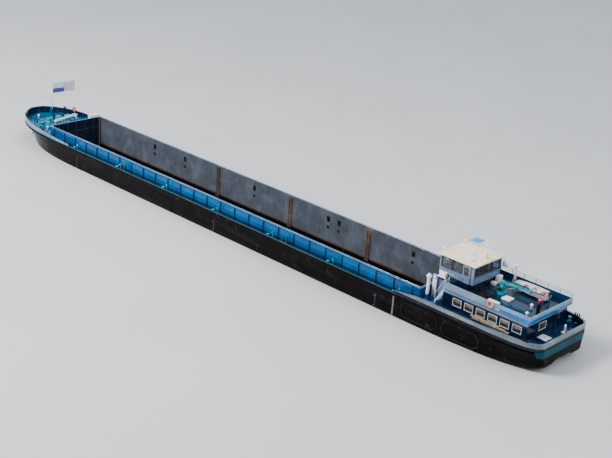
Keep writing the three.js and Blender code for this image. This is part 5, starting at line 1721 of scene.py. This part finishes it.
@dataclass(frozen=True)
class Wheelhouse:
    """Window frames, wipers, lights, aerials and the steering position."""

    fore: float = -29.3
    aft: float = -33.3
    half: float = 2.2
    roof: float = 8.2
    sill: float = 6.95
    head: float = 7.9
    frame_width: float = 0.05
    side_windows: Pairs = ((-30.65, -29.5), (-31.95, -30.8))
    end_windows: Pairs = ((0.75, 2.0), (-0.62, 0.62), (-2.0, -0.75))
    whips: tuple[tuple[float, float, float], ...] = (
        (-33.3, 2.2, 10.6), (-33.3, -2.0, 10.9), (-29.3, -1.9, 9.9), (-32.2, -2.2, 9.6),
    )
    receivers: Pairs = ((-33.2, 1.2), (-33.3, -1.2))
    screen_places: tuple[float, ...] = (-0.9, -0.3, 0.3, 0.9)
    rail_height: float = 6.5
    rail_gap: float = 0.09
    board_foot: float = 6.0
    door_grip_x: float = -32.2
    locker_x: float = -29.05
    locker_top: float = 5.55
    locker_port: float = 2.3

    def build(self) -> None:
        """Makes all of the wheelhouse's details."""
        self.window_frames()
        self.wipers()
        self.roof_gear()
        self.aerials()
        self.steering_position()
        self.sliding_doors()
        self.hand_rails()
        self.side_lights()
        self.blind()
        self.locker_vents()

    def window_frames(self) -> None:
        """Frames every window."""
        form = Form()
        for side in Side:
            for aft, fore in self.side_windows:
                form.frame((aft, side.y(self.half), self.sill), (fore, side.y(self.half + 0.02), self.head),
                           self.frame_width, Axis.BREADTH)
        for near, far in ((self.fore, self.fore + 0.02), (self.aft, self.aft - 0.02)):
            for low, high in self.end_windows:
                form.frame((near, low, self.sill), (far, high, self.head), self.frame_width, Axis.LENGTH)
        form.place("wheelhouse_window_frames", DARK_TRIM)

    def wipers(self) -> None:
        """Makes a wiper on each front window."""
        form = Form()
        x = self.fore + 0.04
        for low, high in self.end_windows:
            motor, blade = (low + high) / 2, (low + high) / 2 + 0.25
            form.box((x - 0.03, motor - 0.08, self.head + 0.06), (x + 0.04, motor + 0.08, self.head + 0.14),
                     bevel=0.01)
            form.rod((x, motor, self.head + 0.08), (x, blade, self.sill + 0.45), 0.012, sides=6)
            form.rod((x, blade, self.sill + 0.7), (x, blade, self.sill + 0.15), 0.014, sides=6)
        form.place("wheelhouse_wipers", TAR)

    def roof_gear(self) -> None:
        """Makes the roof's hatch, cooler box, searchlights and horn."""
        form = Form()
        form.box((-31.6, -0.4, 8.25), (-30.8, 0.4, 8.36), bevel=0.03)
        form.box((-32.5, 1.0, 8.22), (-31.9, 1.7, 8.5), bevel=0.04)
        for side in Side:
            y = side.y(1.6)
            form.rod((-29.2, y, 8.18), (-29.2, y, 8.42), 0.03)
            form.turned([(0.0, 0.0), (0.1, 0.02), (0.14, 0.12), (0.15, 0.2), (0.13, 0.2), (0.0, 0.18)],
                        (-29.3, y, 8.52), Axis.LENGTH, 18)
        form.turned([(0.0, 0.0), (0.03, 0.0), (0.035, 0.3), (0.09, 0.45), (0.07, 0.45), (0.0, 0.3)],
                    (-29.75, 0.55, 8.38), Axis.LENGTH, 14)
        form.rod((-29.7, 0.55, 8.24), (-29.7, 0.55, 8.38), 0.02)
        form.place("wheelhouse_roof_gear", WHITE)

    def aerials(self) -> None:
        """Makes the whip aerials and the small receiver domes."""
        form = Form()
        for x, y, top in self.whips:
            form.rod((x, y, self.roof), (x, y, self.roof + 0.3), 0.03)
            form.rod((x, y, self.roof + 0.3), (x, y, top), 0.014, 0.006, 6)
        for x, y in self.receivers:
            form.rod((x, y, self.roof), (x, y, self.roof + 0.4), 0.025)
            form.ball((x, y, self.roof + 0.46), 0.11, (1.0, 1.0, 0.8))
        form.place("wheelhouse_aerials", WHITE)

    def steering_position(self) -> None:
        """Makes the console's screens and lever, and the chair's cushions."""
        screens, arms = Form(), Form()
        for y in self.screen_places:
            screens.box((-30.12, y - 0.22, 6.62), (-30.06, y + 0.22, 6.94), bevel=0.01)
            arms.rod((-30.05, y, 6.5), (-30.05, y, 6.7), 0.03)
        screens.place("console_screens", SCREEN)
        arms.rod((-30.4, 0.0, 6.44), (-30.45, 0.0, 6.66), 0.02)
        arms.ball((-30.45, 0.0, 6.68), 0.04)
        arms.place("console_arms", TRIM)
        seat = Form().box((-31.44, -0.25, 6.34), (-30.96, 0.25, 6.42), bevel=0.03)
        seat.box((-31.4, -0.23, 6.45), (-31.33, 0.23, 7.1), bevel=0.03)
        cushion = seat.place("chair_cushions", LEATHER)

    def sliding_doors(self) -> None:
        """Makes both sliding doors' grips and panes."""
        x, low, high = self.door_grip_x, 6.4, 6.62
        for side in Side:
            near, far, inner = (side.y(self.half + gap) for gap in (0.1, 0.15, 0.07))
            body = f"door_{side.label}"
            grip = Form().pipe([(x, near, low), (x, far, low), (x, far, high), (x, near, high)], 0.012,
                               sides=6)
            grip.place(f"wheelhouse_door_grip_{side.label}", STEEL, body)
            pane = Form().box((-32.82, inner, 6.92), (-32.18, inner + side.y(0.015), 7.81))
            pane.place(f"wheelhouse_door_pane_{side.label}", PANE, body)

    def hand_rails(self) -> None:
        """Makes the grab rails on the wheelhouse's side walls and fore wall."""
        form = Form()
        z = self.rail_height
        for side in Side:
            y = side.y(self.half + self.rail_gap)
            form.rod((-30.5, y, z), (-31.15, y, z), 0.018, sides=6)
            for x in (-30.55, -31.1):
                form.rod((x, side.y(self.half), z), (x, y, z), 0.014, sides=6)
        x, reach = self.fore + self.rail_gap, 1.9
        form.rod((x, -reach, z), (x, reach, z), 0.018, sides=6)
        for y in places(-reach, reach, 5):
            form.rod((self.fore, y, z), (x, y, z), 0.014, sides=6)
        form.place("wheelhouse_hand_rails", WHITE)

    def side_lights(self) -> None:
        """Makes the side lights' boards and lamps on the side walls."""
        boards, lamps = Form(), Form()
        foot, head = self.board_foot, self.board_foot + 0.48
        for side in Side:
            wall, edge = side.y(self.half), side.y(self.half + 0.42)
            boards.box((-30.4, wall, foot), (-29.4, wall + side.y(0.04), head), bevel=0.01)
            boards.box((-30.4, wall, foot - 0.04), (-29.4, edge, foot), bevel=0.01)
            boards.box((-30.4, wall, foot), (-30.36, edge, head), bevel=0.01)
            lamp = wall + side.y(0.2)
            lamps.rod((-30.15, lamp, foot), (-30.15, lamp, foot + 0.26), 0.12, sides=16)
        boards.place("side_light_boards", WHITE)
        lamps.place("side_light_lamps", LAMP)

    def blind(self) -> None:
        """Makes the drawn blind behind the aft wall's starboard window."""
        form = Form()
        for z in places(7.1, 7.84, 12):
            form.box((-33.19, -1.98, z), (-33.15, -0.77, z + 0.05))
        form.place("wheelhouse_blind", BLUE_SLATS)

    def locker_vents(self) -> None:
        """Makes the cowl, the doors and the air trunk of the locker before the wheelhouse."""
        x, top, port = self.locker_x, self.locker_top, self.locker_port
        cowl = Form().pipe([(x, 2.1, top), (x, 2.1, top + 0.2), (x, 2.35, top + 0.3)], 0.09, sides=12)
        cowl.turned([(0.0, 0.0), (0.1, 0.0), (0.17, 0.16), (0.15, 0.16), (0.08, 0.02), (0.0, 0.02)],
                    (x, 2.3, top + 0.29), Axis.BREADTH, 16)
        for aft in (-29.26, -29.02):
            cowl.box((aft, port - 0.005, 3.8), (aft + 0.2, port + 0.015, 5.3), bevel=0.006)
        cowl.place("fore_locker_cowl", WHITE)
        trunk = Form().rod((x, 1.55, top), (x, 1.55, top + 0.3), 0.1)
        trunk.turned([(0.0, 0.0), (0.12, 0.0), (0.16, 0.05), (0.16, 0.22), (0.12, 0.24), (0.0, 0.2)],
                     (x - 0.12, 1.55, top + 0.36), Axis.LENGTH, 18)
        trunk.place("fore_locker_trunk", TAR)


@dataclass(frozen=True)
class Deckhouse:
    """Windows, blinds and fittings of the accommodation and its roof."""

    half: float = 3.3
    aft: float = -40.4
    fore: float = -30.9
    roof: float = 5.6
    first_window: float = -32.6
    window_pitch: float = 1.35
    window_count: int = 6
    window_half: float = 0.45
    window_low: float = 4.15
    window_high: float = 4.8
    aft_window: Pair = (0.2, 1.3)
    frame_width: float = 0.07
    slat_count: int = 7
    gratings: tuple[tuple[float, float, float, float], ...] = (
        (-35.4, -33.5, 1.3, 3.2), (-33.3, -31.1, 2.5, 3.2),
    )
    grating_pitch: float = 0.2
    roof_boxes: tuple[tuple[Point, Point, float], ...] = (
        ((-36.8, 2.55, 5.61), (-35.6, 3.1, 5.95), 0.04),
        ((-33.8, -2.1, 5.61), (-33.38, -1.35, 6.35), 0.06),
        ((-33.9, -1.1, 5.61), (-33.4, -0.6, 5.95), 0.05),
        ((-36.9, 0.4, 5.61), (-36.0, 1.3, 5.8), 0.04),
    )
    roof_vents: Pairs = ((-38.9, 0.6), (-39.6, 2.4))
    roof_lifebuoy: Point = (-36.4, 3.58, 5.9)
    tank_place: Pair = (-38.9, -0.85)
    exhausts: tuple[float, ...] = (0.9, 1.25)
    plank_ends: Pairs = ((-38.7, -34.6), (-38.3, -35.3), (-37.6, -34.4))
    plank_foot: float = 3.8
    bracket_places: tuple[float, ...] = (-37.4, -35.5)

    def build(self) -> None:
        """Makes all of the deckhouse's details."""
        self.windows()
        self.aft_door()
        self.grating()
        self.roof_gear()
        self.skirting()
        self.planks()

    def windows(self) -> None:
        """Glazes and frames the windows and half lowers their slatted blinds."""
        frames, panes, slats = Form(), Form(), Form()
        half, low, high = self.window_half, self.window_low, self.window_high
        for side in Side:
            wall, face, pane, pane_face, slat, slat_face = (
                side.y(self.half + gap) for gap in (0.0, 0.03, -0.05, -0.03, -0.12, -0.08)
            )
            for number in range(self.window_count):
                x = self.first_window - self.window_pitch * number
                frames.frame((x - half, wall, low), (x + half, face, high), self.frame_width, Axis.BREADTH)
                panes.box((x - half, pane, low), (x + half, pane_face, high))
                for z in places(low + 0.3, high, self.slat_count):
                    slats.box((x - half - 0.01, slat, z), (x + half + 0.01, slat_face, z + 0.05))
        (start, end), aft = self.aft_window, self.aft
        frames.frame((aft - 0.03, start, low), (aft, end, high), self.frame_width, Axis.LENGTH)
        panes.box((aft + 0.03, start, low), (aft + 0.05, end, high))
        frames.place("deckhouse_window_frames", FRAME)
        panes.place("deckhouse_panes", PANE)
        slats.place("deckhouse_blinds", SLATS)

    def aft_door(self) -> None:
        """Makes the aft door's pane, trim and grip."""
        glass, near, far, y = self.aft - 0.09, self.aft - 0.115, self.aft - 0.17, -2.16
        pane = Form().box((glass - 0.008, -1.99, 4.51), (glass + 0.008, -1.61, 4.99))
        pane.place("deckhouse_door_pane", PANE, "door_aft")
        trim = Form().frame((self.aft - 0.125, -2.0, 4.5), (self.aft - 0.112, -1.6, 5.0), 0.05, Axis.LENGTH)
        trim.pipe([(near, y, 4.45), (far, y, 4.45), (far, y, 4.6), (near, y, 4.6)], 0.012, sides=6)
        trim.place("deckhouse_door_trim", STEEL, "door_aft")

    def grating(self) -> None:
        """Makes the roof's gratings from long bars over cross bars."""
        form = Form()
        for aft, fore, low, high in self.gratings:
            for y in places(low, high, round((high - low) / self.grating_pitch) + 1):
                form.box((aft, y - 0.04, self.roof + 0.02), (fore, y + 0.04, self.roof + 0.12))
            for x in places(aft, fore, 7):
                form.box((x - 0.025, low - 0.03, self.roof + 0.01),
                         (x + 0.025, high + 0.03, self.roof + 0.07))
        form.place("roof_grating", TAR)

    def roof_gear(self) -> None:
        """Makes the roof's lockers, vents, lifebuoy, tank and exhausts."""
        lockers = Form()
        for low, high, bevel in self.roof_boxes:
            lockers.box(low, high, bevel)
        for x, y in self.roof_vents:
            mushroom_vent(lockers, (x, y, self.roof))
        lockers.place("roof_lockers", WHITE)
        Form().ring(self.roof_lifebuoy, 0.28, 0.075, Axis.BREADTH, 24, 10).place("roof_lifebuoy", ORANGE)
        tank = Form().turned([(0.0, 0.0), (0.2, 0.0), (0.24, 0.05), (0.24, 0.42), (0.16, 0.52), (0.0, 0.55)],
                             (*self.tank_place, self.roof))
        tank.place("roof_tank", MAGENTA)
        exhaust = Form()
        for y in self.exhausts:
            exhaust.pipe([(-39.9, y, self.roof), (-39.9, y, 6.5), (-40.05, y, 6.72)], 0.09, sides=12)
        exhaust.place("exhaust_pipes", TAR)

    def skirting(self) -> None:
        """Makes the weld bar along the walls' foot."""
        form = Form()
        foot, head = DECK + 0.01, DECK + 0.12
        for side in Side:
            form.box((self.aft, side.y(self.half + 0.01), foot), (self.fore, side.y(self.half + 0.04), head),
                     bevel=0.006)
        form.box((self.aft - 0.04, -1.35, foot), (self.aft - 0.01, self.half, head), bevel=0.006)
        form.place("deckhouse_skirting", DECK_BLUE)

    def planks(self) -> None:
        """Makes the planks stowed on brackets along the port wall."""
        wood, brackets = Form(), Form()
        near, far = self.half + 0.07, self.half + 0.3
        for number, (aft, fore) in enumerate(self.plank_ends):
            z = self.plank_foot + 0.09 * number
            wood.box((aft, near, z), (fore, far, z + 0.07), bevel=0.008)
        rest, edge = self.plank_foot - 0.03, self.half + 0.34
        for x in self.bracket_places:
            brackets.pipe([(x, self.half, rest), (x, edge, rest), (x, edge, rest + 0.28)], 0.02, sides=6)
        wood.place("side_planks", PLANK)
        brackets.place("side_plank_brackets", TAR)


@dataclass(frozen=True)
class RoofCrane:
    """The deck crane's pipes, pins, winch and hook, made along -X and turned to the stowed heading."""

    x: float = -35.3
    y: float = 0.2
    pivot: float = 6.75
    heading: float = 12.0
    hook_reach: float = 2.78
    pipe_gap: float = 0.07
    clips: Pairs = ((0.5, 0.22), (1.3, 0.22), (2.1, 0.18))
    drum_height: float = 6.44
    chest_foot: float = 6.0
    levers: tuple[float, ...] = (0.0, 0.1, 0.2, 0.3)

    def build(self) -> None:
        """Makes what hangs on the crane."""
        self.hook()
        self.pipes()
        self.column()

    def set_down(self, form: Form, name: str, finish: Finish, body: str) -> None:
        """Turns a piece to the stowed heading and places it.

        Args:
            form: the piece's work.
            name: the piece's name.
            finish: what it is made of.
            body: the body that it rides.
        """
        form.turn(self.heading, Axis.HEIGHT, (self.x, self.y, 0.0)).place(name, finish, body)

    def hook(self) -> None:
        """Makes the red collar on the boom's hook."""
        x = self.x - self.hook_reach
        collar = Form().rod((x, self.y, 6.48), (x, self.y, 6.6), 0.09, sides=14)
        self.set_down(collar, "crane_hook_collar", RED, "boom")

    def pipes(self) -> None:
        """Makes the steel oil pipes and their clips along the boom."""
        form = Form()
        x, pivot = self.x, self.pivot
        for side in Side:
            y = self.y + side.y(self.pipe_gap)
            form.pipe([(x - 0.1, y, pivot + 0.24), (x - 1.4, y, pivot + 0.25),
                       (x - 2.6, y, pivot + 0.165)], 0.025)
        for along, rise in self.clips:
            top = pivot + rise
            form.box((x - along - 0.04, self.y - 0.17, top - 0.03),
                     (x - along + 0.04, self.y + 0.17, top + 0.05), bevel=0.01)
        self.set_down(form, "crane_pipes", DARK_TRIM, "boom")

    def column(self) -> None:
        """Makes the column's winch drum, pivot pins and valve chest."""
        x, y, pivot = self.x, self.y, self.pivot
        drum = Form().turned([(0.0, -0.2), (0.15, -0.2), (0.15, -0.16), (0.1, -0.16), (0.1, 0.16),
                              (0.15, 0.16), (0.15, 0.2), (0.0, 0.2)], (x + 0.3, y, self.drum_height),
                             Axis.BREADTH, 18)
        for side in Side:
            cheek = y + side.y(0.3)
            drum.rod((x, cheek, pivot), (x, cheek + side.y(0.03), pivot), 0.07, sides=14)
        self.set_down(drum, "crane_winch", STEEL, "crane")
        foot, head = self.chest_foot, self.chest_foot + 0.28
        chest = Form().box((x - 0.06, y + 0.26, foot), (x + 0.36, y + 0.4, head), bevel=0.02)
        for shift in self.levers:
            chest.rod((x + shift, y + 0.33, head), (x + shift, y + 0.36, head + 0.12), 0.014, sides=6)
        self.set_down(chest, "crane_valves", DARK_TRIM, "crane")


@dataclass(frozen=True)
class Dinghy:
    """Fittings of the work boat on its chocks."""

    centre: float = -1.95
    gunwale: float = 6.32
    thwarts: Pairs = ((-38.25, 0.62), (-37.2, 0.66), (-36.3, 0.6))
    thwart_height: float = 6.12
    rim: tuple[tuple[float, float, float], ...] = (
        (-39.02, 0.64, 0.0), (-37.2, 0.76, 0.0), (-36.0, 0.67, 0.01), (-35.4, 0.33, 0.07),
    )

    def build(self) -> None:
        """Makes the boat's thwarts, fuel tank, rubbing strake and outboard motor."""
        wood = Form()
        y, z = self.centre, self.thwart_height
        for x, half in self.thwarts:
            wood.box((x - 0.12, y - half, z), (x + 0.12, y + half, z + 0.04), bevel=0.01)
        wood.place("dinghy_thwarts", RED)
        tank = Form().box((-38.86, y - 0.35, 5.9), (-38.5, y + 0.35, 6.24), bevel=0.05)
        tank.rod((-38.68, y + 0.15, 6.24), (-38.68, y + 0.15, 6.28), 0.05)
        tank.place("dinghy_tank", MAGENTA)
        port = [(x, y + half, self.gunwale + rise) for x, half, rise in self.rim]
        starboard = [(x, y - half, self.gunwale + rise) for x, half, rise in self.rim]
        Form().pipe([*starboard, *reversed(port)], 0.04).place("dinghy_strake", TAR)
        motor = Form().box((-39.3, y - 0.16, 6.3), (-39.02, y + 0.16, 6.62), bevel=0.07)
        motor.rod((-39.16, y, self.gunwale), (-39.16, y, 5.95), 0.06)
        motor.rod((-39.05, y, 6.45), (-38.75, y, 6.5), 0.02)
        motor.place("dinghy_motor", DARK_TRIM)


@dataclass(frozen=True)
class MastGear:
    """Lamps, brackets and stays of the aft mast, the radar mast and the sign board."""

    mast_x: float = -32.9
    yard_half: float = 0.75
    lamp_feet: tuple[float, ...] = (9.55, 10.35)
    radar_x: float = -34.72
    radar_y: float = -2.7
    sign_low: Point = (-30.24, -3.44, 8.39)
    sign_high: Point = (-29.36, -2.56, 8.408)

    def build(self) -> None:
        """Makes the masts' fittings."""
        self.aft_mast()
        self.radar_cover()
        self.sign_face()
        self.radar_braces()

    def aft_mast(self) -> None:
        """Makes the aft mast's lamp glasses and the stays of its yard."""
        x = self.mast_x
        lamps, stays = Form(), Form()
        for z in self.lamp_feet:
            lamps.rod((x, 0.0, z + 0.01), (x, 0.0, z + 0.19), 0.105, sides=16)
        for side in Side:
            tip = side.y(self.yard_half)
            stays.rod((x, tip, 9.98), (x, side.y(0.05), 9.4), 0.01, sides=6)
            stays.rod((x, tip, 10.0), (x, side.y(0.04), 10.6), 0.008, sides=6)
        lamps.place("mast_aft_lamps", LAMP, "aft_mast")
        stays.place("mast_aft_stays", WHITE, "aft_mast")

    def radar_cover(self) -> None:
        """Makes the scanner's cover."""
        x, y = self.radar_x, self.radar_y
        cover = Form().box((x - 0.1, y - 0.67, 7.47), (x + 0.1, y + 0.67, 7.63), bevel=0.03)
        cover.place("radar_cover", WHITE, "radar")

    def sign_face(self) -> None:
        """Makes the sign board's painted face."""
        Form().box(self.sign_low, self.sign_high, bevel=0.004).place("sign_face", SIGN, "sign")

    def radar_braces(self) -> None:
        """Makes the radar mast's braces."""
        form = Form()
        x, y = self.radar_x, self.radar_y
        for side in Side:
            form.rod((x, y + side.y(0.06), 6.9), (x, y + side.y(0.45), 5.6), 0.02, sides=6)
        form.place("radar_mast_braces", WHITE)


@dataclass(frozen=True)
class Stern:
    """The propeller's cap, the rudders' end plates and the stern light."""

    shaft: float = 0.88
    propeller_x: float = -38.2
    rudder_y: float = 0.6
    rudder_ends: Pair = (0.15, 1.58)
    light_x: float = -42.3

    def build(self) -> None:
        """Makes the stern's fittings."""
        cap = Form().turned([(0.0, -0.42), (0.05, -0.38), (0.09, -0.22), (0.0, -0.2)],
                            (self.propeller_x, 0.0, self.shaft), Axis.LENGTH, 18)
        cap.place("propeller_cap", BRONZE, "screw")
        for side in Side:
            y = side.y(self.rudder_y)
            form = Form()
            for z in self.rudder_ends:
                form.box((-40.35, y - 0.13, z - 0.02), (-38.95, y + 0.13, z + 0.02), bevel=0.01)
            form.place(f"rudder_end_plates_{side.label}", HULL, f"rudder_blade_{side.label}")
        light = Form().rod((self.light_x, 0.0, 4.2), (self.light_x, 0.0, 4.9), 0.03)
        light.rod((self.light_x, 0.0, 4.9), (self.light_x, 0.0, 5.08), 0.08, sides=14)
        light.place("stern_light", WHITE)


def dress() -> None:
    """Puts the finishes on the frame's nodes and adds every piece."""
    for node in frame["nodes"]:
        if node != "flag_fore":
            refine(node)
    for part in (HullDetails(), HoldDetails(), DeckDetails(), BowGear(), Wheelhouse(), Deckhouse(),
                 RoofCrane(), Dinghy(), MastGear(), Stern()):
        part.build()


def main() -> None:
    """Builds the studio and dresses the barge."""
    logging.basicConfig(level=logging.INFO, format="%(name)s: %(message)s")
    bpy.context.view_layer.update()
    Studio().build()
    dress()


if __name__ == "__main__":
    main()
